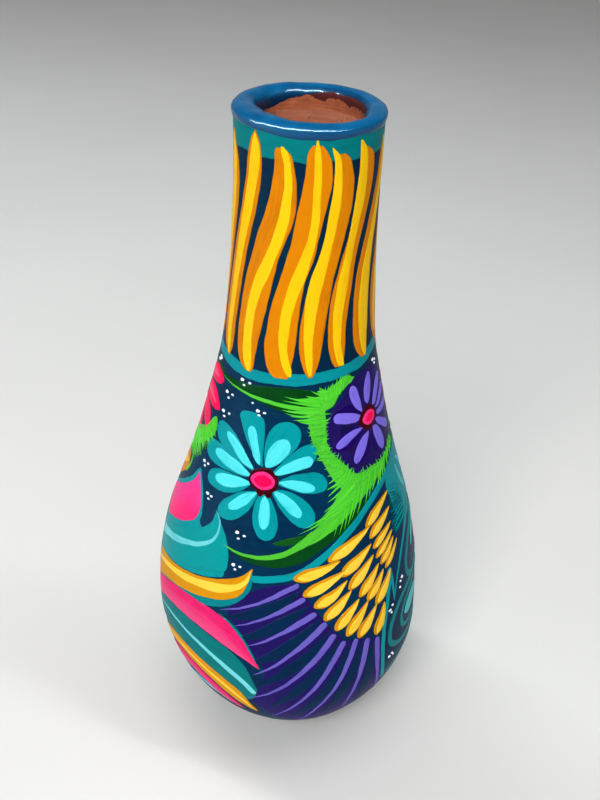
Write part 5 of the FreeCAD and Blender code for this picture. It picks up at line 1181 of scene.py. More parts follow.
    ("B", "teal", 1, [(60.6, 117.4), (67, 120.8), (75, 123.2), (85, 125.4), (95, 125.8), (101, 121.4), (101, 111.4), (95, 103.9), (87, 98.9), (79, 96.4), (73, 97.6), (67, 100.1), (64, 103.9), (62, 110.1)]),
    ("F", "deepteal", 4, 0.9, [(71, 108.9), (73, 106.4), (74, 102.6), (73, 98.9)], [(59.5, 113.2), (59, 109.5), (58.5, 105.8), (58, 102), (57.8, 98.2), (59, 95.8)], 16),
    ("F", "teal2", 5, 0.8, [(73, 111.4), (75, 107.6), (75, 102.6), (74, 98.9)], [(60, 114.5), (60.5, 110.1), (59.5, 106.4), (59, 102.6), (59, 98.9), (61, 96.4)], 14),
    ("S", "paleteal", 4, "leaf", 2.4, [(76.5, 118.9), (79.5, 111.4), (85, 105.1)]),
    ("S", "paleteal", 4, "leaf", 1.8, [(79, 120.8), (85, 117.6), (90, 110.1)]),
    ("S", "teal", 2, "fat", 3, [(51.2, 86.1), (52.4, 80.1), (53.2, 75.1), (53.3, 69.9)]),
    ("S", "teal", 2, "fat", 3.4, [(91, 102.6), (81, 100.1), (73, 96.4), (65, 90.1), (59, 83.2), (55.5, 77), (53.4, 69.9)]),
    ("S", "teal", 2, "round", 2.2, [(52, 85.1), (49.5, 76.4), (47.5, 67.6), (46.2, 58.9), (46, 48.9), (47.5, 38.9), (50.5, 30.1)]),
    ("S", "teal3", 2, "round", 2.6, [(93, 97), (83, 94.5), (75, 90.8), (69, 85.8), (65.8, 80.1), (67, 75.1), (73, 72.6), (83, 75.8)]),
    ("S", "paleteal", 3, "leaf", 2.8, [(95, 93.2), (86, 90.8), (79, 87.6), (75, 83.2)]),
    ("S", "teal3", 2, "round", 2.6, [(91, 76.4), (81, 73.9), (70, 71.6), (61, 68.9), (54.5, 64.1), (50.8, 57.6), (51.2, 50.8), (57, 46.4), (67, 45.8), (79, 49.5)]),
    ("S", "teal3", 2, "round", 2.2, [(87, 70.8), (77, 69.1), (68, 66.4), (62, 62.6), (59.8, 57.6), (62, 52.6), (69, 50.8), (78, 52.6)]),
    ("B", "paleteal", 3, [(63, 57.6), (65, 61.1), (69, 63.2), (75, 63.9), (79, 62.6), (77, 58.9), (72, 56.4), (67, 55.4)]),
    ("S", "teal3", 2, "round", 2, [(52, 32.6), (61, 36.4), (73, 40.1), (85, 45.1)]),
    ("D", "white", 5, 0.85, (-40.5, 160)),
    ("D", "white", 5, 0.62, (-33.8, 159.9)),
    ("D", "white", 5, 0.6, (-38.3, 158.4)),
    ("D", "white", 5, 0.85, (-53.3, 152.6)),
    ("D", "white", 5, 0.62, (-47.2, 152.8)),
    ("D", "white", 5, 0.6, (-50.5, 150.9)),
    ("D", "white", 5, 0.85, (-52.8, 145.4)),
    ("D", "white", 5, 0.62, (-46.8, 145.8)),
    ("D", "white", 5, 0.6, (-50.9, 143.8)),
    ("D", "white", 5, 0.85, (-25, 151.2)),
    ("D", "white", 5, 0.62, (-20.2, 151.1)),
    ("D", "white", 5, 0.6, (-23.8, 149.8)),
    ("D", "white", 5, 0.5, (-29.5, 153.4)),
    ("D", "white", 5, 0.85, (-59, 123.5)),
    ("D", "white", 5, 0.62, (-54.8, 123.8)),
    ("D", "white", 5, 0.6, (-57.4, 122.2)),
    ("D", "white", 5, 0.85, (-49, 114.2)),
    ("D", "white", 5, 0.62, (-45.8, 114.1)),
    ("D", "white", 5, 0.6, (-47.4, 112.6)),
    ("D", "white", 5, 0.85, (-26, 106.4)),
    ("D", "white", 5, 0.62, (-22.1, 105.9)),
    ("D", "white", 5, 0.6, (-24.9, 104.4)),
    ("D", "white", 5, 0.85, (-25, 94.5)),
    ("D", "white", 5, 0.62, (-21.7, 94.5)),
    ("D", "white", 5, 0.6, (-23.9, 93)),
    ("D", "white", 5, 0.85, (-74.5, 159.9)),
    ("D", "white", 5, 0.62, (-71.2, 160.9)),
    ("D", "white", 5, 0.6, (-72.8, 161.4)),
    ("D", "white", 5, 0.85, (70, 163.2)),
    ("D", "white", 5, 0.62, (74, 162.4)),
    ("D", "white", 5, 0.6, (72.2, 161.4)),
    ("D", "white", 5, 0.85, (60.6, 77.2)),
    ("D", "white", 5, 0.62, (58.3, 73.6)),
    ("D", "white", 5, 0.6, (59, 76.1)),
    ("D", "white", 5, 0.85, (50.2, 67.4)),
    ("D", "white", 5, 0.62, (52, 69)),
    ("D", "white", 5, 0.6, (51.2, 65.9)),
    ("D", "white", 5, 0.85, (51.2, 42.6)),
    ("D", "white", 5, 0.62, (53, 43.6)),
    ("D", "white", 5, 0.6, (54.2, 42.1)),
]
BACK = [
    ("B", "orange", 2, [(187.5, 130.4), (193.7, 134.4), (199.5, 139.9), (203.1, 144.2), (204.5, 146.3), (203, 147.8), (198.6, 148.6), (192.8, 148.5), (188.6, 147.3), (187.3, 143.7), (187.2, 138.6), (187.3, 133.5)]),
    ("B", "orange", 2, [(185.6, 130.6), (186.8, 136.1), (185.8, 141.9), (181.8, 146.5), (176.9, 148.7), (171.4, 148.8), (167.3, 147), (166.6, 144.3), (168.7, 140.3), (172.7, 136.8), (178.6, 133)]),
    ("B", "orange", 2, [(182.3, 129), (177.7, 133), (170.8, 138.1), (164.3, 141.3), (159.7, 141.8), (158, 139.8), (158.8, 136.7), (162.8, 133.6), (170.7, 130.9), (178.2, 128.8)]),
    ("B", "orange", 2, [(179.7, 125.8), (173.7, 129), (166.3, 130.9), (159.4, 131.5), (155.5, 130.2), (154.2, 127.7), (155.7, 125.1), (160.4, 123.7), (168, 123.5), (174.3, 124.4)]),
    ("B", "orange", 2, [(182.1, 122.4), (177, 123.7), (171.7, 123), (166.4, 121.1), (163, 118.2), (161.6, 114.8), (162.9, 111.7), (166.7, 110.6), (171.7, 112.1), (176.2, 115.2), (180.2, 119)]),
    ("B", "orange", 2, [(186.8, 121.4), (183.7, 120.5), (181, 117.5), (179.1, 113.2), (178.7, 109.2), (180.2, 106.1), (183.4, 105), (186.7, 105.8), (189.5, 108.7), (190.9, 113.3), (190.4, 117.5), (188.7, 120.1)]),
    ("B", "orange", 2, [(189.2, 121.4), (192.2, 121.1), (197.2, 120.1), (202.8, 117.7), (207.3, 114.6), (209, 111.6), (208, 109.5), (203.7, 108.7), (198.8, 109.7), (194.4, 112.8), (191.1, 116.8)]),
    ("B", "orange", 2, [(193.5, 123.4), (199.5, 124.8), (207.5, 125.1), (214.9, 124.5), (218.9, 122.9), (220.2, 120.1), (218.3, 118.1), (211.8, 117.4), (204.6, 118), (198.6, 119.9)]),
    ("B", "orange", 2, [(193.7, 126), (199.7, 129.5), (206.6, 131.9), (214.6, 133.3), (222, 133.5), (226, 131.7), (226.5, 128.9), (222.4, 126.5), (214.7, 125.5), (205.7, 125.4), (198.5, 125.2)]),
    ("B", "orange", 2, [(192.5, 128.3), (197.4, 133.5), (203.2, 137.6), (210.2, 140.4), (216.5, 141.4), (219.7, 140.2), (219.9, 137.8), (217.9, 135.1), (211.9, 132.6), (204, 130.8), (197.5, 129.1)]),
    ("B", "yellow", 3, [(188.9, 130.8), (192.1, 132.4), (194.4, 135.9), (196.7, 139.4), (197.6, 141.9), (196.5, 143.4), (194, 143.8), (191.8, 142), (190.2, 137.9), (188.6, 133.8)]),
    ("B", "yellow", 3, [(185.6, 130.6), (185.7, 133.9), (184.4, 137.2), (181.5, 140.3), (177.8, 142.1), (174.2, 142.4), (172.3, 140.7), (172.6, 138.4), (175.6, 135.2), (180.5, 131.9)]),
    ("B", "yellow", 3, [(181.4, 128.7), (177.8, 131.8), (172.1, 134.8), (166.4, 136.8), (161.9, 137.4), (160.4, 135.8), (161.8, 133.7), (167, 132.2), (173.5, 130.2), (178.2, 128.7)]),
    ("B", "yellow", 3, [(178.7, 126.1), (173.9, 127.7), (168.4, 128.1), (163.1, 127.4), (160.8, 126), (161.6, 124.5), (166.2, 123.8), (172.4, 124.5), (176.9, 125.2)]),
    ("B", "yellow", 3, [(181.2, 122.7), (177.2, 122.7), (172.8, 121), (169.3, 118.7), (167.8, 116.3), (169, 114.2), (172.2, 114.9), (176.2, 117.4), (179.6, 120)]),
    ("B", "yellow", 3, [(185.7, 120.5), (183.6, 118.6), (182.6, 114.4), (182.8, 110.7), (184.4, 108.7), (186.5, 109.2), (187.9, 111.9), (187.9, 116.2), (187.1, 119.3)]),
    ("B", "yellow", 3, [(189.5, 121.1), (193.6, 120.6), (198.2, 118.7), (202.4, 115.8), (203.8, 113.8), (202.4, 112.7), (198.9, 113.3), (194.6, 115.8), (191.5, 118.7)]),
    ("B", "yellow", 3, [(193.1, 123.6), (198.6, 124.6), (204.9, 124.6), (211.3, 123.7), (214.5, 122.3), (214.1, 120.5), (209.9, 119.6), (203.5, 120.2), (198, 121.6)]),
    ("B", "yellow", 3, [(193.7, 126.3), (199.8, 129.3), (206.7, 130.9), (213.9, 131.8), (217.6, 131.1), (217.5, 129.2), (212.6, 127.6), (204.7, 126.1), (198.5, 125.6)]),
    ("B", "yellow", 3, [(192.5, 128.8), (197.4, 133.5), (202.4, 136.7), (207.6, 138.6), (211.1, 138.6), (211.1, 137.1), (207.2, 134.6), (202.2, 131.5), (197.5, 129.3)]),
    ("B", "maroon", 4, [(194.6, 125.5), (192.7, 128.3), (189.4, 129.6), (185.7, 130.3), (182.1, 130), (180.1, 128.5), (179, 125.7), (180.2, 123.1), (182.4, 121.9), (182.8, 120.4), (184.6, 119.7), (186.3, 121), (187.7, 119.7), (189.7, 120.4), (190.7, 122.1), (193.3, 122.9)]),
    ("B", "heart", 5, [(193.6, 125.6), (190.9, 128), (186.3, 129), (182.4, 128.2), (180.6, 125.8), (182.7, 123.4), (187.1, 122.2), (191.5, 123.3)]),
    ("B", "pink", 6, [(191.6, 125.5), (189.4, 127.2), (186.3, 127.9), (183.3, 127.1), (182.1, 125.6), (184, 124.1), (187.2, 123.2), (190.4, 123.9)]),
    ("B", "violet", 1, [(151.4, 147.8), (149.7, 151.5), (146.2, 154.2), (139.9, 157), (136.4, 160.5), (127, 160.5), (114.7, 160.5), (103.2, 160.5), (92.1, 158.4), (85.6, 152), (85.5, 141.7), (91.4, 133.9), (101.9, 129.5), (113.8, 127.2), (126, 128.2), (135.5, 128.1), (139.8, 131.3), (144.9, 135.2), (150.1, 137.5), (151, 142.4)]),
    ("S", "indigo", 2, "leaf", 7, [(126.1, 148), (135.7, 149.8), (149.6, 150.6)]),
    ("S", "indigo", 2, "leaf", 7, [(126.2, 142.7), (136.7, 141.4), (148.9, 139.7)]),
    ("S", "indigo", 2, "leaf", 7, [(121.7, 140.1), (128.9, 135), (137.8, 132.2)]),
    ("S", "indigo", 2, "leaf", 7, [(116.9, 140), (114.7, 134.4), (110.7, 128.6)]),
    ("B", "tulip", 3, [(126.6, 147.6), (131.9, 149.5), (139.5, 151.1), (145.1, 151.5), (147.3, 150.3), (146.6, 148.4), (142.2, 147.5), (135.6, 146.6), (129, 146.2)]),
    ("B", "tulip", 3, [(126.2, 143.1), (131.8, 144), (138.5, 143.6), (144.2, 142.2), (146.9, 140.2), (145.8, 139.1), (141.6, 139.3), (134.9, 141.1), (129.1, 142.2)]),
    ("B", "tulip", 3, [(121.4, 140.5), (126.4, 140.3), (131.3, 138.4), (135.5, 135.4), (136.9, 133.1), (135.5, 131.9), (131.6, 132.7), (127, 135.1), (123.3, 138.1)]),
    ("B", "tulip", 3, [(116.9, 140.9), (113.1, 140.5), (109.6, 137.3), (107.9, 133.5), (109, 130.7), (112, 130), (115, 132.2), (116.9, 135.7), (117.8, 138.7)]),
    ("B", "tulip", 3, [(113, 142.8), (109.2, 142.4), (103.6, 140.2), (97.9, 137.8), (95.6, 135.7), (97.8, 134.1), (102.5, 135.5), (108.5, 138.5), (112.1, 140.8)]),
    ("B", "tulip", 3, [(111, 144.9), (105.3, 145.3), (98.4, 145.9), (91.5, 145.6), (90.5, 144.3), (96.6, 142.7), (104.4, 142.9), (110.1, 143.5)]),
    ("B", "tulip", 3, [(111.8, 146.8), (107.2, 148.4), (101.5, 151.1), (95.7, 152.3), (92.1, 151.5), (94.5, 149.5), (100.4, 147.9), (107.2, 146.2)]),
    ("B", "tulip", 3, [(114.4, 148.6), (111.2, 152.6), (105.7, 156.7), (100, 158.3), (98, 157.3), (100.2, 154.4), (105.4, 151.4), (111, 148.4)]),
    ("B", "tulip", 3, [(119.6, 150.4), (122, 151.9), (122, 155.6), (119.3, 159.6), (115.6, 160.5), (113.5, 160.5), (113.3, 157.8), (115.3, 153.8), (117.9, 150.9)]),
    ("B", "tulip", 3, [(125.2, 148.7), (129, 150.1), (133, 153.1), (135.3, 156.5), (135.1, 158.6), (132.5, 159.5), (129.1, 158.4), (127, 155), (125.3, 151.3)]),
    ("B", "maroon", 4, [(129.4, 145.8), (126.6, 148.2), (122.9, 149.4), (119.1, 149.7), (114.8, 148.7), (111, 146.2), (111.2, 143.6), (114.4, 142.4), (118.8, 140.9), (122.5, 141), (126.7, 143.1)]),
    ("B", "yellow", 5, [(126.1, 145.4), (123.3, 147.4), (118.6, 148.1), (114.8, 147.1), (113.5, 145.3), (115.3, 143.3), (119.6, 142.5), (123.8, 143.5)]),
    ("B", "amber", 6, [(123.1, 145.4), (121.2, 146.5), (118.4, 146.9), (115.9, 146.1), (115.7, 145), (117.5, 144.1), (120.3, 143.6), (122.6, 144.2)]),
    ("B", "darkgreen", 1, [(226.8, 156.9), (216.2, 157.3), (202.8, 158), (192.1, 159.4), (180.4, 160.5), (166.7, 160.5), (157.5, 159.7), (150, 156.9), (152.4, 152.1), (161.5, 151.6), (172.5, 151.9), (182.6, 152.4), (193.5, 153.1), (206.1, 153.8), (217.8, 155)]),
    ("S", "green", 3, "tear2", 1.9, [(227.2, 156.4), (209.7, 154.7), (193.5, 154.3), (179, 154.5), (165.3, 153.9), (157.9, 152.2)]),
    ("L", "green", 2, [(131.1, 160.5, 131, 160.5), (134.6, 160.5, 134, 160.5), (139.4, 160.5, 137.7, 159.8), (144, 160.5, 142.3, 158), (148.5, 160.5, 144.9, 156.4), (153, 159.8, 146.4, 154.9), (157.4, 158, 148.9, 154), (160.7, 155.8, 152, 153.1), (162.3, 153, 152.4, 152.1), (163.1, 150.2, 151.9, 150.5), (162.1, 147.5, 152.1, 147.8), (161, 144.4, 152.1, 144.8), (159.9, 142, 151.7, 142.3), (158.5, 139.5, 150.8, 139.9), (156.9, 137.1, 148.7, 137.5), (155, 134.7, 145.8, 135.4), (153.5, 132.3, 142.8, 133.3), (151.6, 129.2, 140, 130.3), (148.8, 126.2, 138.5, 127.3), (145.3, 123.9, 138.8, 124.1)]),
    ("L", "green", 2, [(96.8, 130.3, 96.9, 129.5), (101.9, 129.2, 102.1, 127.9), (106.9, 128.1, 107.1, 126.7), (111.8, 127.6, 112.1, 125.7), (116.6, 127.3, 116.9, 124.7), (121.3, 127.7, 120.9, 123.5), (126, 128.3, 125.2, 122.2), (130.8, 128.1, 129.5, 121.1), (135.5, 128.4, 133.9, 119.7), (139.2, 129.3, 138.2, 118.2), (142.3, 130.3, 141, 117.2)]),
    ("L", "green", 2, [(135.6, 127.3, 133.3, 121.7), (140.1, 129.6, 137.2, 119.2), (145, 127.1, 141, 116.6), (149.1, 123.4, 144.8, 114.7), (152.5, 119.6, 148.9, 112.1), (156.2, 115, 153, 109.8), (160.3, 111.4, 157.9, 107.1), (164.8, 108.5, 163.4, 104.7), (169.3, 105.5, 168.3, 102.7), (172.9, 102.6, 172.6, 101.8)]),
    ("F", "lime", 4, 1.5, [(155.4, 155.4), (150.9, 156.3), (146.8, 156.9), (142.8, 158.6), (137.4, 160.5)], [(156.5, 160.5), (150.4, 160.5), (144.9, 160.5), (138.4, 160.5), (130.8, 160.5)], 15),
    ("F", "lime", 4, 1.7, [(156.9, 148.6), (157, 151.4), (156.2, 153.2), (155.4, 154.8), (154.5, 156), (153.7, 157.3), (152, 158.6), (150.2, 159.8)], [(162.8, 147.8), (166.4, 148.9), (169.2, 149.6), (172.9, 150.4), (173.9, 151.9), (180.3, 152.6), (180, 155.1), (177.5, 158.2), (172, 157.7), (166.6, 158.6), (161, 160.2), (156, 160.5)], 17),
    ("F", "lime", 4, 1.2, [(159.1, 147.6), (157.6, 144.6), (155.9, 142.2), (155.2, 139.4), (153.8, 136.7), (152.1, 135.9)], [(163.6, 147.8), (162.3, 144.3), (161.3, 141.9), (160.6, 139.1), (158.4, 136), (156.2, 135.1)], 11),
    ("F", "lime", 4, 1.1, [(154.2, 151.5), (154.6, 147.2), (154.3, 144.7), (154, 142.3), (152.7, 138.5), (150.3, 135.6)], [(148.2, 151.8), (150.3, 147.8), (150.8, 144.8), (150.8, 142.1), (148.9, 139.7), (146.2, 137.6)], 13),
    ("F", "lime", 4, 1.4, [(149.6, 133.7), (146.8, 131.3), (143.5, 128.4), (140.5, 126), (133, 125.1)], [(146.1, 137.3), (142.8, 135.2), (139.7, 132.5), (136.8, 129.1), (130.6, 129.5)], 13),
    ("F", "lime", 4, 1.9, [(146.4, 133.8), (143.2, 130.3), (140.4, 127.3), (138.3, 124.1), (138.1, 120.5)], [(156, 134.6), (154.3, 132.4), (154.6, 129), (154.5, 125.2), (155.2, 120.9), (160.2, 114.3), (165.8, 110.4), (169.8, 108.1)], 13),
    ("F", "lime", 4, 1.6, [(146.4, 122), (137.9, 123.9), (128.2, 125.9), (117.7, 126.3), (107, 127.2), (96, 129)], [(153.8, 107), (150.9, 106.9), (142.4, 112.8), (136.3, 116.7), (128.7, 119.5), (119.1, 121.1), (108.4, 123.5), (97.4, 126)], 19),
    ("F", "lime", 4, 1.2, [(129.1, 125.9), (121.6, 125.6), (112, 126.3), (100, 128.6)], [(131.4, 129.3), (122.9, 129.1), (112.5, 128.6), (100.5, 131.1)], 13),
    ("F", "green2", 5, 1, [(162, 151.3), (161.2, 147.5), (160.3, 144.5), (159.3, 141.4), (157.7, 138.3), (155.7, 135.7), (153.3, 133.3)], [(152.4, 151.8), (151.4, 147.8), (151.6, 144.8), (151.5, 141.8), (150, 138.7), (147.5, 136.1), (145, 133.9)], 15),
    ("F", "lime", 5, 0.9, [(152.4, 150.8), (151.8, 146), (151.9, 142.3), (150.4, 138.6), (147.2, 135.1)], [(160.5, 149.9), (159.6, 145.5), (158.6, 141.7), (156.4, 138.2), (153.2, 134.3)], 12),
    ("S", "lime", 3, "leaf", 2.6, [(135.9, 124.8), (143.7, 120.2), (152.1, 113.7), (160.3, 108.5)]),
    ("S", "green2", 3, "leaf", 1.4, [(138.1, 121.7), (145.7, 118.2), (152.1, 112.9)]),
    ("S", "lime", 3, "leaf", 2, [(141.5, 125.4), (129.1, 126.3), (115.8, 126.5), (102.1, 127.6)]),
    ("B", "darkgreen", 1, [(200.8, 99.4), (193.7, 98.5), (184.7, 98.7), (177.4, 100.5), (172, 104.1), (165.7, 108.4), (159.4, 111.2), (152.1, 114.4), (141, 116.5), (131.5, 119.2), (127.8, 118), (133.5, 114.2), (141.9, 110.7), (149.3, 107.5), (157.4, 103.6), (164.7, 99.4), (172.9, 96.6), (182, 95.9), (191.9, 96.8)]),
    ("B", "darkgreen2", 1, [(180.2, 104.3), (173.9, 106.5), (166.6, 108.3), (160.3, 110.8), (161.2, 109.1), (167.5, 106.1), (174.7, 103.9)]),
    ("S", "green2", 3, "tear2", 3.3, [(202.6, 100.1), (195.5, 98.9), (186.5, 98.7), (177.4, 100.2), (168.4, 104), (160.3, 109.6), (152.1, 115.7), (144.6, 121.4)]),
    ("S", "teal", 2, "round", 2.8, [(187.6, 90.6), (177.6, 92), (168.4, 94.2), (159.2, 99.1), (150.1, 105.3), (141, 111.3), (131.6, 116.5), (122.1, 119.6), (112.4, 121.5), (102.6, 123), (92.5, 124.8)]),
    ("B", "violet", 1, [(187, 85.7), (181.4, 88.7), (174, 90.3), (169.5, 90.9), (167.8, 88.5), (163.4, 82.5), (158.7, 76), (153.5, 69.9), (148.2, 64.8), (142.9, 63.3), (137.5, 61.5), (132.4, 59.6), (129.3, 54.7), (128.9, 45.1), (126, 32.9), (121.1, 23.1), (139.2, 10.9), (162.1, 10.7), (175.6, 17.8), (184.9, 29.9), (182, 37.4), (178, 50.5), (183.2, 59.2), (189.8, 68), (195.8, 74.2)]),
    ("S", "navy", 2, "leaf", 4.8, [(167.8, 87.8), (175.2, 83), (186.9, 75.9), (196.5, 71.3)]),
    ("S", "navy", 2, "leaf", 4.8, [(164.2, 82.3), (172.4, 76.4), (182.5, 68.1), (190.1, 63.8)]),
    ("S", "navy", 2, "leaf", 4.8, [(159.6, 76.5), (167, 68.5), (175.8, 59.1), (184.5, 52.6)]),
    ("S", "navy", 2, "leaf", 4.8, [(155.3, 71.2), (161.4, 61.3), (170.8, 51.1), (181.8, 41.1)]),
    ("S", "navy", 2, "leaf", 4.8, [(150.7, 66.4), (156.3, 54.7), (166.4, 41.1), (177.7, 27.6)]),
    ("S", "navy", 2, "leaf", 4.8, [(145.6, 63.3), (149.8, 50), (158.5, 34), (168.3, 19.1)]),
    ("S", "navy", 2, "leaf", 4.8, [(140.4, 61.8), (143.4, 48.8), (150.4, 32.2), (154.7, 18.8)]),
    ("S", "navy", 2, "leaf", 4.8, [(135, 59.8), (136, 46.4), (136.9, 32.9), (136.2, 20.2)]),
    ("S", "lavender2", 3, "fat", 2.3, [(168.4, 90.4), (175.1, 87), (181.6, 83.1), (190.6, 78), (199.4, 73.5)]),
    ("S", "lavender2", 3, "fat", 2.5, [(166.1, 85.1), (172.5, 81.5), (179.7, 76.9), (186.6, 72.4), (192.3, 68.8)]),
    ("S", "lavender2", 3, "fat", 2.9, [(161.8, 79.1), (168.6, 74.5), (175.3, 69.4), (181.1, 64.6), (185.7, 61.4)]),
    ("S", "lavender2", 3, "fat", 3.1, [(157.5, 74.6), (163.2, 67.8), (168.8, 61.3), (175.4, 53.5), (182.6, 47.2)]),
    ("S", "lavender2", 3, "fat", 3.1, [(153.4, 69.1), (157.8, 61.1), (163.5, 52.9), (171.8, 43.2), (179.3, 36.2), (186.7, 31.1)]),
    ("S", "lavender2", 3, "fat", 2.9, [(148.6, 64.8), (151.9, 57.3), (156.2, 48.3), (163, 37.4), (170.4, 26.6), (177.4, 17.8)]),
    ("S", "lavender2", 3, "fat", 2.8, [(143.3, 63.9), (145.2, 56.1), (149, 46.2), (154.9, 34.4), (159.8, 23.5), (163.8, 13.1)]),
    ("S", "lavender2", 3, "fat", 3.1, [(137.9, 61.8), (138.3, 54.9), (140.2, 46.4), (142.8, 36.5), (144.3, 27.4), (145.1, 19.6)]),
    ("S", "lavender2", 3, "fat", 3, [(132.6, 59.8), (131.7, 52.4), (131.3, 45.2), (129.7, 36.6), (126.9, 28.1), (123.4, 20.6)]),
    ("S", "amber", 4, "feather", 5.2, [(170.7, 92.3), (161.1, 94.6), (150.6, 97.9)]),
    ("S", "yellow2", 5, "feather", 3.9, [(169.1, 92.5), (160.8, 94.2), (150.8, 97.8)]),
    ("S", "amber", 4, "feather", 5.2, [(167, 86.1), (158.6, 89.6), (148.6, 94)]),
    ("S", "yellow2", 5, "feather", 3.9, [(165.5, 86.4), (158.3, 89.1), (148.7, 93.9)]),
    ("S", "amber", 4, "feather", 5, [(162.7, 81.3), (155.6, 84.7), (148.4, 90)]),
    ("S", "yellow2", 5, "feather", 3.75, [(161.5, 81.7), (155.3, 84.3), (148.6, 89.8)]),
    ("S", "amber", 4, "feather", 5.2, [(158.5, 75.6), (153.2, 80.1), (146.9, 85.7)]),
    ("S", "yellow2", 5, "feather", 3.9, [(157.4, 76.1), (152.8, 79.7), (147, 85.6)]),
    ("S", "amber", 4, "feather", 5.4, [(153.3, 70.3), (149.3, 75.1), (143.6, 81.1)]),
    ("S", "yellow2", 5, "feather", 4.05, [(152.3, 70.8), (148.9, 74.6), (143.7, 81)]),
    ("S", "amber", 4, "feather", 5.4, [(148.1, 66.5), (144.4, 71.9), (139.3, 78.7)]),
    ("S", "yellow2", 5, "feather", 4.05, [(147.2, 67), (144, 71.6), (139.4, 78.5)]),
    ("S", "amber", 4, "feather", 5.3, [(142.5, 63.8), (138.8, 69.3), (134.7, 75.3)]),
    ("S", "yellow2", 5, "feather", 3.975, [(141.7, 64.3), (138.4, 68.8), (134.8, 75.2)]),
    ("S", "amber", 4, "feather", 5.2, [(133.5, 61), (131.4, 66.9), (130, 74.1)]),
    ("S", "yellow2", 5, "feather", 3.9, [(132.9, 61.6), (131, 66.4), (130.1, 74)]),
    ("S", "amber", 4, "feather", 5, [(156.3, 98.3), (146.4, 102.9), (133.7, 108.1)]),
    ("S", "yellow2", 5, "feather", 3.75, [(154.6, 98.8), (146, 102.4), (133.9, 108)]),
    ("S", "amber", 4, "feather", 5.2, [(151.2, 92), (143.9, 96.1), (134.4, 101.2)]),
    ("S", "yellow2", 5, "feather", 3.9, [(149.8, 92.5), (143.5, 95.7), (134.6, 101.1)]),
    ("S", "amber", 4, "feather", 5, [(148.3, 86), (141.9, 90.8), (134.1, 96.6)]),
    ("S", "yellow2", 5, "feather", 3.75, [(147.1, 86.5), (141.5, 90.3), (134.2, 96.5)]),
    ("S", "amber", 4, "feather", 4.6, [(143.6, 81.6), (138, 86.6), (131.8, 92.2)]),
    ("S", "yellow2", 5, "feather", 3.45, [(142.6, 82), (137.6, 86.2), (131.9, 92.1)]),
    ("S", "amber", 4, "feather", 4.6, [(139.8, 78.7), (134.8, 83.2), (129.5, 88.6)]),
    ("S", "yellow2", 5, "feather", 3.45, [(138.9, 79.2), (134.4, 82.8), (129.6, 88.5)]),
    ("S", "amber", 4, "feather", 5.2, [(135.1, 75), (130.2, 80.6), (125, 87)]),
    ("S", "yellow2", 5, "feather", 3.9, [(134.2, 75.7), (129.8, 80.1), (125.1, 86.8)]),
    ("S", "amber", 4, "feather", 4.4, [(136.4, 108), (127.3, 112.6), (117, 115.5)]),
    ("S", "yellow2", 5, "feather", 3.3, [(134.9, 108.5), (126.9, 112.2), (117.2, 115.5)]),
    ("S", "amber", 4, "feather", 4.2, [(134.9, 103.4), (126.9, 107.1), (117.9, 109.9)]),
    ("S", "yellow2", 5, "feather", 3.15, [(133.5, 103.8), (126.5, 106.7), (118.1, 109.8)]),
    ("S", "amber", 4, "feather", 3.6, [(133.8, 98.8), (126.8, 102), (119.1, 104.5)]),
    ("S", "yellow2", 5, "feather", 2.7, [(132.6, 99.1), (126.4, 101.7), (119.3, 104.5)]),
    ("S", "amber", 4, "feather", 3.3, [(133, 94.7), (126.5, 97.9), (119.4, 101.2)]),
    ("S", "yellow2", 5, "feather", 2.475, [(131.8, 95.1), (126.1, 97.6), (119.5, 101.1)]),
    ("S", "amber", 4, "feather", 3.6, [(130.9, 91.2), (125.3, 94.5), (119.5, 98.5)]),
    ("S", "yellow2", 5, "feather", 2.7, [(129.8, 91.5), (124.9, 94.2), (119.6, 98.4)]),
    ("S", "amber", 4, "feather", 3.1, [(128.4, 88.3), (122.9, 92), (116.9, 96.2)]),
    ("S", "yellow2", 5, "feather", 2.325, [(127.3, 88.7), (122.6, 91.8), (117, 96.2)]),
    ("B", "teal", 1, [(261, 90.2), (250.1, 93), (237.6, 97.2), (226.3, 103.5), (218.9, 106.1), (216.1, 102.2), (208, 98.4), (201, 93.4), (199.4, 88.3), (204.9, 85.3), (214, 82.1), (223.1, 79.5), (232.4, 77.6), (241.7, 75.3), (250.7, 70.8), (257.4, 70.4), (261.2, 79.2)]),
    ("B", "teal", 1, [(256.7, 100.7), (250, 104.2), (241.5, 109), (234.5, 114), (229.7, 119.1), (227.7, 120.1), (225, 118), (220.9, 113.6), (217.9, 108.4), (216.9, 104.8), (218.3, 101), (223, 97.3), (232, 93.5), (243.5, 90.1), (252.3, 86.9), (259, 90.7)]),
    ("B", "tulip", 2, [(258.7, 98.2), (251.9, 101.9), (242.4, 106.3), (234.9, 110.8), (229.8, 115.2), (228.1, 118.8), (225.3, 116.2), (221.6, 111.8), (218.9, 106.8), (219.8, 102.7), (224.4, 99.1), (232, 95.3), (241.5, 91.9), (251.3, 88.8), (258.1, 90)]),
    ("B", "flatteal", 2, [(255.4, 82.6), (249.5, 86), (239.7, 90.1), (230.1, 93.8), (220.7, 98.3), (213.4, 102.2), (209.9, 106.1), (209.1, 109.5), (205.4, 107), (201.8, 103.4), (199.1, 99), (198.1, 94.6), (199, 90.2), (204.8, 87.3), (213.9, 84), (223.1, 81.3), (232.5, 79.5), (241.8, 77.3), (250, 73.6), (255.1, 76.5)]),
    ("S", "palecyan", 3, "tear2", 4, [(209.5, 110.2), (206.8, 108.2), (205.4, 105.5), (205.5, 102.2), (208, 98.6), (213.5, 95), (222.7, 91), (232.3, 87.4), (241.9, 84.6), (252.4, 81), (263.1, 77.4)]),
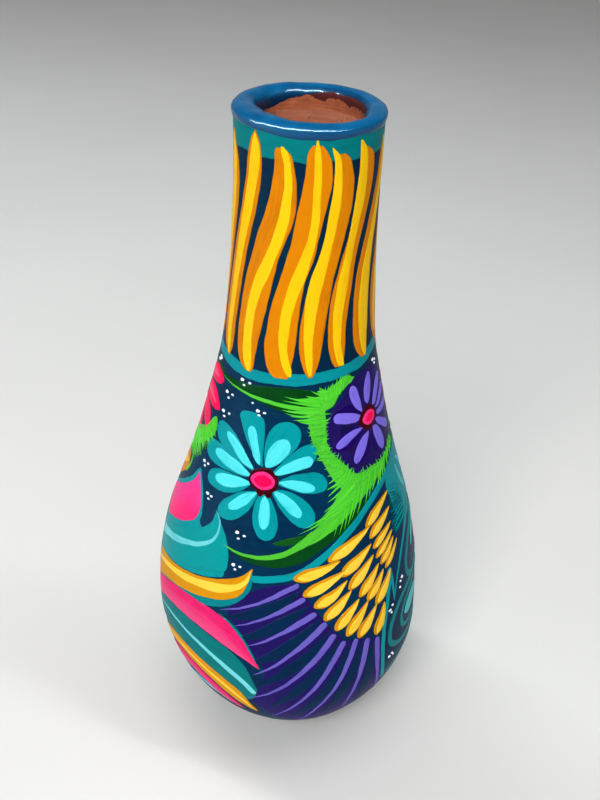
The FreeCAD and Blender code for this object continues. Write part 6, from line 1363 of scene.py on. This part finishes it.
    ("B", "teal3", 1, [(187.3, 92.9), (187.1, 87.7), (190.4, 81.7), (196.8, 76.2), (204.1, 72.5), (211.7, 70), (220.4, 68.5), (229.5, 67.1), (237.5, 64.5), (243, 63.7), (238.2, 69.3), (230.1, 71.9), (218.4, 75.1), (205, 80.4), (194.1, 86.5), (189.2, 91.5)]),
    ("B", "amber", 3, [(256.4, 66.4), (245.4, 74.4), (237.1, 76.5), (228.7, 78.1), (219.4, 80.2), (210.4, 82.8), (201.3, 86.2), (194, 89.4), (189.8, 92.1), (187.3, 94.4), (188.1, 90.4), (189.8, 85.7), (192.5, 82.1), (197.8, 78.7), (204.9, 75.8), (213.7, 73), (222.6, 70.9), (231.6, 68.7), (240.3, 64.7), (253.8, 56.1)]),
    ("S", "yellow2", 4, "curl", 3.9, [(187.8, 93.9), (189.5, 89.1), (194.2, 85.4), (201.4, 82.4), (210.4, 79.7), (219.4, 77.4), (228.5, 75.4), (237.7, 73.1), (245.8, 70.1), (253.9, 66.4)]),
    ("B", "leafpink", 3, [(253.7, 53.1), (241.1, 63.3), (234.2, 67.2), (226.1, 69.7), (218, 71.1), (210, 71.8), (202.8, 71.8), (196.4, 70.3), (191.5, 67.2), (187.3, 63.4), (183.5, 57.9), (180, 51.4), (184.5, 53.6), (190.1, 56.1), (197.6, 58.8), (205, 60.4), (212.2, 61), (219.4, 61.1), (226.7, 60.5), (233.9, 58.2), (241.2, 53.9), (253.2, 45.9)]),
    ("B", "lowteal", 2, [(252.9, 42.7), (236.6, 56.6), (228.5, 60), (219.4, 61), (210.3, 60.6), (201.2, 59.1), (193.8, 57), (188.1, 53.7), (184.4, 48.7), (182.5, 42.4), (181.8, 37.4), (184.7, 37.3), (187.3, 39.2), (193.5, 42.3), (200.6, 45.1), (209.5, 47.2), (218.5, 48.6), (227.9, 48.6), (237.4, 45.7), (252.2, 34.9)]),
    ("S", "teal3", 2, "leaf", 1.3, [(199.7, 71.9), (193.9, 69.4), (189.3, 65.8), (185, 60.4), (181.8, 54.9), (179.2, 49.9)]),
    ("S", "palecyan", 3, "fat", 3.3, [(183, 35.5), (185.5, 39.8), (189.8, 44.1), (197, 48.7), (204.2, 51.9), (213.2, 54.1), (222.4, 55.3), (231.8, 54.6), (241.1, 50.5)]),
    ("B", "lowteal", 1, [(229.8, 50.9), (218.6, 50.7), (209.5, 49.7), (200.5, 47.3), (191.7, 43.7), (184.7, 38.8), (182.4, 36.1), (184.9, 31.1), (187.6, 30), (193.8, 35.5), (202.5, 41.1), (213.2, 44.3), (222.3, 45), (230, 43.6)]),
    ("B", "amber", 3, [(246.4, 33), (228, 46), (218.6, 47.1), (209.5, 45.5), (200.7, 42.2), (193.7, 38), (189.2, 33.9), (186.5, 27.5), (183.8, 20.3), (190.2, 24), (195.7, 28.4), (202.8, 34.4), (211.6, 39), (220.7, 40.9), (230.2, 39.4), (245, 27.2)]),
    ("S", "yellow2", 4, "curl", 2.4, [(184.8, 21.9), (190.3, 29.4), (197.4, 35.7), (206.1, 40.6), (215, 43.5), (224.3, 43.8), (233.9, 40.5)]),
    ("B", "leafpink", 3, [(243, 24.6), (226.4, 38), (218, 39.3), (209.9, 37), (202.9, 32.7), (195.7, 26), (191, 19.2), (199.1, 21.9), (208.2, 28.5), (217.3, 32.6), (226.6, 31.6), (240.5, 20)]),
    ("S", "cyan", 3, "leaf", 1.4, [(193.7, 20.6), (202.8, 24.3), (213.6, 27.4), (222.7, 26.4)]),
    ("B", "pink", 2, [(262.4, 150.2), (256.5, 153.5), (249, 156.9), (241.4, 158.2), (233.9, 157.8), (228.1, 156.1), (225.4, 154.4), (228.8, 152.5), (235.3, 152), (243.8, 151.6), (252.4, 150)]),
    ("B", "pink", 2, [(262.3, 145.6), (254.4, 148.3), (245.7, 150.3), (237.2, 150.7), (229.6, 149.1), (224.8, 146.5), (222.2, 144.2), (226.7, 143.3), (234.3, 143.6), (243.8, 144), (254.4, 144.1)]),
    ("B", "pink", 2, [(262.4, 142.4), (252.5, 143.2), (242.8, 143.5), (235.3, 142.2), (230.8, 138.8), (229.3, 135.9), (233.2, 134.3), (239.7, 135.8), (247.1, 137.9), (256.7, 139.2)]),
    ("B", "pink", 2, [(264.7, 138.4), (256.8, 138.6), (250.2, 136.4), (244.8, 132.9), (243.3, 130.3), (248.2, 128.9), (253.8, 130.2), (260.3, 133.3)]),
    ("S", "rose", 3, "leaf", 2.4, [(255.5, 152.2), (244, 154.7), (230.8, 154.6)]),
    ("S", "rose", 3, "leaf", 2.4, [(255.3, 146.2), (240.9, 147.5), (226.7, 145.5)]),
    ("B", "darkgreen", 1, [(226.3, 156.1), (239.6, 158.5), (252.9, 157.9), (264.6, 155.3), (264.8, 157.9), (253, 159.9), (239.7, 160.2), (227.3, 158.1)]),
    ("B", "darkgreen", 1, [(260.4, 124.4), (250.1, 128.9), (238.2, 132.8), (228.3, 136.2), (222.2, 135.4), (224.2, 131), (229.5, 126.8), (234.6, 123), (239.5, 119.8), (249.1, 117.9), (258.9, 118)]),
    ("B", "green", 2, [(260.3, 125.9), (250, 129.8), (240, 133.2), (231.1, 136.7), (226.9, 140.3), (223, 141.3), (220.7, 137.4), (222.8, 134), (228, 131.2), (233.1, 128.2), (239.1, 125.7), (248.8, 123.1), (258.6, 122.4)]),
    ("F", "lime", 4, 1.2, [(257.5, 124.4), (248.3, 128.3), (238.3, 132.2), (230.2, 135.6), (225.1, 138.7)], [(255, 117.9), (244.3, 118.5), (234.7, 122.4), (228.5, 127.4), (222.8, 130.9), (220.3, 135.3), (220.2, 138.6)], 30),
    ("S", "lime", 4, "tear2", 1.3, [(251.5, 125.6), (245.8, 125), (242.3, 121.2), (241.1, 116), (244.9, 111.1)]),
    ("B", "orange", 2, [(263.9, 112), (257.9, 115.4), (252.1, 117.3), (246.3, 116.6), (243, 114), (246.3, 110.1), (251.9, 106.6), (257.7, 103.2), (263.7, 101.1)]),
    ("S", "yellow", 3, "leaf", 3.4, [(263.8, 108.3), (256, 111.4), (246.3, 114.6)]),
    ("B", "teal", 1, [(116.8, 118.5), (110.5, 121.4), (102.6, 123.3), (92.5, 125.1), (82.2, 125.4), (76.4, 120.8), (76.6, 110.5), (82.7, 103.1), (90.9, 98.8), (98.9, 97.1), (104.8, 98.7), (110.5, 101.5), (113.4, 105.3), (115.5, 111.4)]),
    ("F", "deepteal", 4, 0.9, [(106.8, 109.7), (104.8, 107.2), (103.8, 103.4), (104.7, 100)], [(117.9, 114.5), (118.3, 111), (118.7, 107.4), (119.1, 103.7), (119.3, 99.9), (118.2, 97.4)], 16),
    ("F", "teal2", 5, 0.8, [(104.9, 111.9), (102.9, 108.1), (102.8, 103.4), (103.8, 99.9)], [(117.4, 115.8), (116.9, 111.5), (117.7, 108), (118.1, 104.2), (118.1, 100.5), (116.3, 98)], 14),
    ("S", "teal", 2, "fat", 3, [(126, 87.2), (124.9, 81), (123.9, 75.9), (123.3, 70.5)]),
    ("S", "teal", 2, "fat", 3.4, [(86.8, 102.1), (96.9, 100.5), (104.8, 97.5), (112.7, 91.6), (118.7, 84.5), (121.9, 77.9), (123.2, 70.5)]),
    ("S", "teal", 2, "round", 2.2, [(125.2, 86.2), (127.5, 77.1), (128.5, 68.1), (128.6, 59.5), (128.3, 49.9), (127.2, 40.2), (124.6, 31.6)]),
    ("D", "white", 5, 0.85, (207.4, 159)),
    ("D", "white", 5, 0.62, (202.8, 158.2)),
    ("D", "white", 5, 0.6, (206.8, 157.4)),
    ("D", "white", 5, 0.85, (218.2, 150.9)),
    ("D", "white", 5, 0.62, (212, 152.2)),
    ("D", "white", 5, 0.6, (215.7, 150)),
    ("D", "white", 5, 0.85, (219.1, 144.1)),
    ("D", "white", 5, 0.62, (212.6, 144)),
    ("D", "white", 5, 0.6, (217.2, 142.7)),
    ("D", "white", 5, 0.85, (194.5, 149.7)),
    ("D", "white", 5, 0.62, (189.1, 150.5)),
    ("D", "white", 5, 0.6, (192.1, 148.6)),
    ("D", "white", 5, 0.5, (197.4, 152.2)),
    ("D", "white", 5, 0.85, (226.2, 123.4)),
    ("D", "white", 5, 0.62, (220.6, 124.6)),
    ("D", "white", 5, 0.6, (223.7, 122.7)),
    ("D", "white", 5, 0.85, (217.7, 113.7)),
    ("D", "white", 5, 0.62, (214.9, 113.2)),
    ("D", "white", 5, 0.6, (215.1, 112.3)),
    ("D", "white", 5, 0.85, (195.5, 105.5)),
    ("D", "white", 5, 0.62, (191.7, 105.6)),
    ("D", "white", 5, 0.6, (196.8, 103.3)),
    ("D", "white", 5, 0.85, (194.5, 94)),
    ("D", "white", 5, 0.62, (191.3, 93.8)),
    ("D", "white", 5, 0.6, (195.8, 92.7)),
    ("D", "white", 5, 0.85, (238.4, 160)),
    ("D", "white", 5, 0.62, (237.3, 160.5)),
    ("D", "white", 5, 0.6, (236.4, 160.5)),
    ("D", "white", 5, 0.85, (107.3, 160.5)),
    ("D", "white", 5, 0.62, (103.4, 160.5)),
    ("D", "white", 5, 0.6, (103.1, 160.5)),
    ("D", "white", 5, 0.85, (116.9, 78.2)),
    ("D", "white", 5, 0.62, (119.9, 74.8)),
    ("D", "white", 5, 0.6, (119.6, 77.3)),
    ("D", "white", 5, 0.85, (127, 67.8)),
    ("D", "white", 5, 0.62, (125.2, 69.2)),
    ("D", "white", 5, 0.6, (123.5, 66.9)),
    ("D", "white", 5, 0.85, (124.1, 44.2)),
    ("D", "white", 5, 0.62, (122.7, 44.4)),
    ("D", "white", 5, 0.6, (119.8, 43.2)),
]

# The tail where both sides meet, and a heart for the flower above it.
SEAM = [
    ("B", "teal3", 5, [(-98, 92), (-91, 84), (-87.5, 68), (-87, 50), (-88.5, 34), (-92, 19), (-98, 7), (-112, 11), (-127, 22), (-132, 37), (-129, 52), (-121, 70), (-111, 85)]),
    ("S", "lavender", 6, "leaf", 2.6, [(-98, 88), (-92.5, 70), (-91, 48), (-94, 24)]),
    ("S", "lavender", 6, "leaf", 2.6, [(-99, 88), (-113, 70), (-118, 48), (-111, 22)]),
    ("S", "paleteal", 6, "leaf", 2.2, [(-115, 72), (-125, 52), (-127, 38), (-119, 22)]),
    ("B", "orange", 6, [(-99, 84), (-96, 72), (-94.5, 56), (-96, 38), (-101, 20), (-107, 38), (-111, 56), (-108, 72)]),
    ("B", "leafpink", 7, [(-100, 77), (-97.5, 68), (-96.5, 54), (-98, 41), (-101, 29), (-105, 41), (-108, 54), (-105, 68)]),
    ("S", "yellow", 8, "leaf", 2.2, [(-101.5, 72), (-101, 52), (-101, 35)]),
    ("B", "maroon", 4, [(-104, 143), (-100, 146.5), (-95, 146), (-91.5, 142.5), (-94, 139), (-99, 138.4), (-103, 140)]),
    ("B", "yellow", 5, [(-102, 142.6), (-99, 144.8), (-95, 144.4), (-93.4, 142.3), (-95.5, 140.4), (-100, 140)]),
    ("D", "white", 6, 0.8, (-122, 18)), ("D", "white", 6, 0.7, (-126, 15.5)), ("D", "white", 6, 0.7, (-119, 14)),
    ("S", "teal3", 2, "leaf", 8.5, [(97, 88), (101, 66), (102, 42), (99, 14)]),
    ("S", "paleteal", 3, "leaf", 2.6, [(98, 80), (100.8, 62), (101.4, 44), (99.4, 24)]),
    ("S", "teal3", 2, "leaf", 7.5, [(103, 82), (111, 62), (114, 40), (111, 18)]),
    ("S", "paleteal", 3, "leaf", 2.2, [(105, 76), (111, 58), (113, 42), (111, 27)]),
    ("S", "amber", 4, "feather", 4.6, [(106, 66), (105, 76), (101, 90)]),
    ("S", "yellow2", 5, "feather", 3.0, [(106, 67.5), (105, 76), (101.6, 88)]),
    ("D", "white", 6, 0.8, (-98, 99)), ("D", "white", 6, 0.7, (-94.5, 96.5)), ("D", "white", 6, 0.7, (-101.5, 96.5)),
]

LOOK = "Medium High Contrast"
WORLD = 0.14
EXPOSURE = 0.0
LIGHTS = [
    # name, size, place, aimed at, watts, colour, the way its long side runs
    ("key_softbox", (1.0, 0.8), (-0.30, -1.25, 1.05), (0, 0, 0.11), 19.6, (1.0, 0.985, 0.96), None),
    ("strip_top", (2.3, 0.085), (-0.05, 0.18, 1.15), (0, 0, 0.25), 9.5, (0.90, 0.96, 1.0), (-1.75, 0.75, -0.35)),
    ("strip_front", (7.4, 0.36), (-0.5, -1.0, 1.32), (0, 0, 0.25), 560.0, (0.66, 0.87, 1.0), (1.0, 0.0, 0.15)),
]


# ---------------------------------------------------------------- colours
TONES = {
    "orange": ((214, 132, 0), (192, 115, 2), (229, 146, 8), (72, 70, 20)),
    "yellow": ((243, 196, 20), (229, 173, 10), (248, 212, 54), (150, 140, 24)),
    "yellow2": ((247, 205, 74), (238, 182, 42), (251, 217, 108), (216, 150, 14)),
    "teal": ((2, 150, 158), (0, 120, 130), (18, 170, 176), (4, 58, 84)),
    "teal2": ((2, 160, 163), (0, 132, 140), (16, 178, 178), (4, 58, 84)),
    "teal3": ((2, 130, 136), (0, 104, 116), (10, 150, 154), (4, 50, 76)),
    "deepteal": ((0, 104, 116), (0, 82, 98), (6, 126, 134), (2, 60, 80)),
    "paleteal": ((84, 196, 200), (40, 170, 178), (130, 216, 216), (4, 110, 120)),
    "cyan": ((90, 219, 227), (60, 194, 206), (126, 236, 241), (6, 132, 142)),
    "maroon": ((96, 0, 24), (64, 0, 14), (128, 8, 36), (48, 0, 16)),
    "pink": ((250, 10, 92), (222, 4, 76), (255, 44, 118), (150, 8, 60)),
    "tulip": ((238, 62, 144), (218, 44, 120), (247, 92, 166), (120, 16, 60)),
    "amber": ((212, 148, 14), (188, 120, 8), (230, 164, 28), (60, 52, 34)),
    "leafpink": ((228, 40, 115), (210, 24, 96), (240, 70, 138), (130, 20, 60)),
    "rose": ((238, 84, 132), (214, 66, 118), (246, 130, 166), (214, 50, 104)),
    "violet": ((38, 22, 98), (24, 16, 80), (54, 34, 120), (8, 32, 72)),
    "indigo": ((36, 2, 102), (26, 0, 80), (54, 14, 128), (24, 10, 70)),
    "lavender": ((134, 118, 226), (106, 90, 202), (160, 146, 240), (56, 44, 130)),
    "darkgreen": ((4, 74, 26), (0, 52, 18), (20, 96, 34), (2, 36, 30)),
    "darkgreen2": ((22, 88, 28), (12, 66, 20), (40, 108, 36), (4, 40, 30)),
    "green": ((88, 195, 60), (58, 164, 46), (112, 216, 78), (14, 88, 40)),
    "green2": ((86, 186, 56), (58, 156, 44), (110, 208, 74), (20, 100, 40)),
    "lime": ((90, 206, 56), (60, 178, 42), (122, 226, 82), (20, 104, 40)),
    "lavender2": ((112, 100, 188), (92, 80, 166), (136, 124, 208), (36, 30, 104)),
    "flatteal": ((0, 150, 153), (0, 138, 143), (6, 160, 160), (2, 112, 122)),
    "lowteal": ((2, 121, 123), (0, 102, 108), (8, 136, 136), (2, 82, 94)),
    "palecyan": ((118, 207, 213), (82, 184, 194), (150, 224, 229), (10, 134, 144)),
    "heart": ((246, 58, 136), (226, 38, 112), (252, 92, 160), (190, 16, 80)),
    "navy": ((2, 45, 80), (0, 33, 64), (4, 56, 92), (4, 24, 60)),
    "bandteal": ((0, 124, 128), (0, 100, 108), (6, 144, 144), (4, 58, 84)),
    "ringteal": ((6, 144, 154), (0, 116, 130), (24, 166, 172), (4, 58, 84)),
    "white": ((250, 253, 253), (236, 244, 248), (255, 255, 255), (200, 210, 220)),
}
MATS = {}
for k, (base, dark, light, under) in TONES.items():
    MATS[k] = paint("paint_" + k, base, dark, light, under, streak=1.0 if k not in ("white", "maroon") else 0.5,
                    thin=0.40 if k in ("orange", "yellow") else 0.22,
                    other={"tulip": (250, 44, 116), "leafpink": (226, 84, 134)}.get(k))

SKINS = {}
ORDER = {}


def skin(zone, colour, layer):
    key = (zone, colour)
    if key not in SKINS:
        SKINS[key] = Skin("paint_%s_%s" % key, MATS[colour], "painted_neck" if zone == "neck" else "painted_belly")
    ORDER[layer] = ORDER.get(layer, 0) + 1
    return SKINS[key], ORDER[layer] % 24


def lay(zone, marks):
    for m in marks:
        kind, colour, layer = m[:3]
        s, order = skin(zone, colour, layer)
        if kind == "R":
            s.rows(m[3], layer, order)
        elif kind == "B":
            s.blob(m[3], layer, order)
        elif kind == "L":
            s.pairs(m[3], layer, order)
        elif kind == "S":
            s.stroke(m[3], m[4], m[5], layer, order)
        elif kind == "D":
            s.dot(m[3], m[4], layer, order)
        elif kind == "F":
            s.fringe(m[3], m[4], m[5], m[6], layer, order)


lay("neck", STRIPES)
lay("front", FRONT)
lay("back", BACK)
lay("back", SEAM)


def band(name, colour, upper, lower, layer):
    """A painted ring all round the neck. upper and lower are lists of (angle, height)."""
    n = 360
    th = np.linspace(-180, 180, n + 1)

    def wave(tab, seed):
        a = np.array([t[0] for t in tab] + [tab[0][0] + 360])
        b = np.array([t[1] for t in tab] + [tab[0][1]])
        q = np.interp(np.mod(th - a[0], 360) + a[0], a, b)
        for _ in range(10):
            q = (np.roll(q[:-1], 1) + 2 * q[:-1] + np.roll(q[:-1], -1)) / 4
            q = np.append(q, q[0])
        r = random.Random(seed)
        for k, amp in ((7, 0.10), (13, 0.08), (29, 0.06), (53, 0.04)):
            q = q + amp * np.sin(np.radians(th) * k + r.uniform(0, 6.28))
        return q
    up, lo = wave(upper, 3), wave(lower, 5)
    w = up - lo
    fr = [0, 0.012, 0.03, 0.06, 0.14, 0.28, 0.42, 0.58, 0.72, 0.86, 0.94, 0.97, 0.988, 1.0]
    m = len(fr)
    V, brush, edge = [], [], []
    H = 0.06 * layer
    rr = float(np.mean(r_of(up)))
    for i in range(n):
        for f in fr:
            z = lo[i] + w[i] * f
            e = min(f, 1 - f) * w[i]
            q = min(e / ROLL, 1.0)
            h = H * math.sqrt(max(1 - (1 - q) ** 2, 0)) - (0.012 if q <= 0 else 0.0)
            V.append((th[i], z, h))
            brush.append((math.radians(th[i]) * rr, f * w[i], 0.5))
            edge.append(e)
        for z in (lo[i], up[i]):
            V.append((th[i], z, -0.06))
            brush.append((math.radians(th[i]) * rr, 0, 0.5))
            edge.append(0.0)
    V = np.array(V)
    P = on_wall(V[:, 0], V[:, 1], V[:, 2])
    c = m + 2
    faces, uv = [], []
    for i in range(n):
        k = (i + 1) % n
        for j in range(m - 1):
            faces.append((i * c + j, k * c + j, k * c + j + 1, i * c + j + 1))
            u0, u1 = i / n, (i + 1) / n
            v0, v1 = 0.05 + 0.85 * fr[j], 0.05 + 0.85 * fr[j + 1]
            uv.extend([(u0, v0), (u1, v0), (u1, v1), (u0, v1)])
        faces.append((i * c, i * c + m, k * c + m, k * c))
        faces.append((i * c + m, i * c + m + 1, k * c + m + 1, k * c + m))
        faces.append((i * c + m - 1, k * c + m - 1, k * c + m + 1, i * c + m + 1))
        for s in range(3):
            v0 = 0.93 + 0.02 * s
            uv.extend([(i / n, v0), ((i + 1) / n, v0), ((i + 1) / n, v0 + 0.015), (i / n, v0 + 0.015)])
    me = bpy.data.meshes.new(name)
    me.from_pydata([tuple(p) for p in P], [], faces)
    me.uv_layers.new(name="OFBake").data.foreach_set("uv", np.array(uv, dtype=np.float32).ravel())
    me.polygons.foreach_set("use_smooth", [True] * len(faces))
    me.attributes.new("brush", "FLOAT_VECTOR", "POINT").data.foreach_set("vector", np.array(brush, dtype=np.float32).ravel())
    me.attributes.new("edge", "FLOAT", "POINT").data.foreach_set("value", np.array(edge, dtype=np.float32))
    me.materials.append(MATS[colour])
    me.update()
    o = link(bpy.data.objects.new(name, me))
    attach(o, "root")
    return o


TOP_LOW = [(-180, 238.6), (-150, 238.0), (-120, 238.5), (-90, 238.3), (-70, 237.6), (-55, 238.6), (-40, 237.8), (-20, 238.4),
           (0, 238.0), (18, 238.6), (34, 238.0), (55, 238.5), (80, 238.1), (105, 238.6), (135, 237.9), (160, 238.5)]
band("paint_band_teal", "bandteal", [(-180, 246.1), (-60, 246.3), (60, 246.1)], TOP_LOW, 1)
RING_MID = [(-180, 165.4), (-150, 165.9), (-120, 166.2), (-89, 165.4), (-65, 163.9), (-35, 163.2), (-5, 163.9), (25, 164.9), (50, 166.1),
            (75, 168.5), (90, 170.1), (110, 169.6), (135, 167.4), (160, 165.9)]
band("paint_ring_teal", "ringteal", [(a, z + 2.1) for a, z in RING_MID], [(a, z - 2.0) for a, z in RING_MID], 1)

for s in SKINS.values():
    s.make()

# ---------------------------------------------------------------- the room
def floor_mat():
    g = Graph("studio_floor")
    obj = g.node("ShaderNodeTexCoord").outputs["Object"]
    n = g.noise(obj, 3.0, 3.0, 0.5)
    f = g.noise(obj, 600.0, 2.0, 0.5)
    col = g.ramp(n, [(0.3, lin((222, 220, 217))), (0.7, lin((228, 226, 223)))])
    return g.finish(col, 0.55, g.bump(f, 0.08, 0.0002), spec=0.1)


W = 2.4
me = bpy.data.meshes.new("studio_floor")
fv, ff = [], []
prof = [(-2.2 * W, 0.0), (W * 0.75, 0.0)] + [(W * 0.75 + 0.6 * math.sin(a), 0.6 - 0.6 * math.cos(a)) for a in np.linspace(0.1, math.pi / 2, 12)] + [(W * 0.75 + 0.6, 2.4)]
for y, z in prof:
    fv += [(-2.2 * W, y, z), (2.2 * W, y, z)]
for i in range(len(prof) - 1):
    ff.append((2 * i, 2 * i + 1, 2 * i + 3, 2 * i + 2))
me.from_pydata(fv, [], ff)
me.polygons.foreach_set("use_smooth", [True] * len(ff))
me.materials.append(floor_mat())
floor = link(bpy.data.objects.new("studio_floor", me))

world = bpy.data.worlds.new("studio")
bpy.context.scene.world = world
world.use_nodes = True
wt = world.node_tree
bg = wt.nodes.get("Background") or wt.nodes.new("ShaderNodeBackground")
bg.inputs[0].default_value = (0.93, 0.96, 1.0, 1.0)
bg.inputs[1].default_value = WORLD


def area(name, size, loc, aim, power, color, along):
    d = bpy.data.lights.new(name, "AREA")
    d.shape = "RECTANGLE"
    d.size, d.size_y = size
    d.energy = power
    d.color = color
    o = link(bpy.data.objects.new(name, d))
    v = Vector(aim) - Vector(loc)
    if along is None:
        turn = v.to_track_quat("-Z", "Y").to_matrix()
    else:
        zax = -v.normalized()
        xax = (Vector(along) - Vector(along).dot(zax) * zax).normalized()
        turn = Matrix((xax, zax.cross(xax), zax)).transposed()
    o.matrix_world = Matrix.Translation(Vector(loc)) @ turn.to_4x4()
    return o


for a in LIGHTS:
    lamp = area(*a)
    # two lights are for the colours only, so that the varnish stays clear; the long one in
    # front is for the varnish only
    lamp.visible_glossy = a[0] == "strip_front"
    lamp.visible_diffuse = a[0] != "strip_front"

# ---------------------------------------------------------------- the camera
p, ro = math.radians(32.086), math.radians(2.551)
fw = Vector((0, math.cos(p), -math.sin(p)))
right = Vector((1, 0, 0))
up = right.cross(fw)
c, s = math.cos(ro), math.sin(ro)
r2, u2 = c * right + s * up, -s * right + c * up
cam_d = bpy.data.cameras.new("camera")
cam_d.sensor_fit = "VERTICAL"
cam_d.sensor_height = 36.0
cam_d.lens = 47.25
cam_d.clip_start = 0.01
cam = link(bpy.data.objects.new("camera", cam_d))
m = Matrix((r2, u2, -fw)).transposed().to_4x4()
m.translation = Vector((0.0014976, -0.329385, 0.345609))
cam.matrix_world = m
bpy.context.scene.camera = cam

vs = bpy.context.scene.view_settings
vs.view_transform = "Standard"
vs.look = LOOK
vs.exposure = EXPOSURE
vs.gamma = 1.0
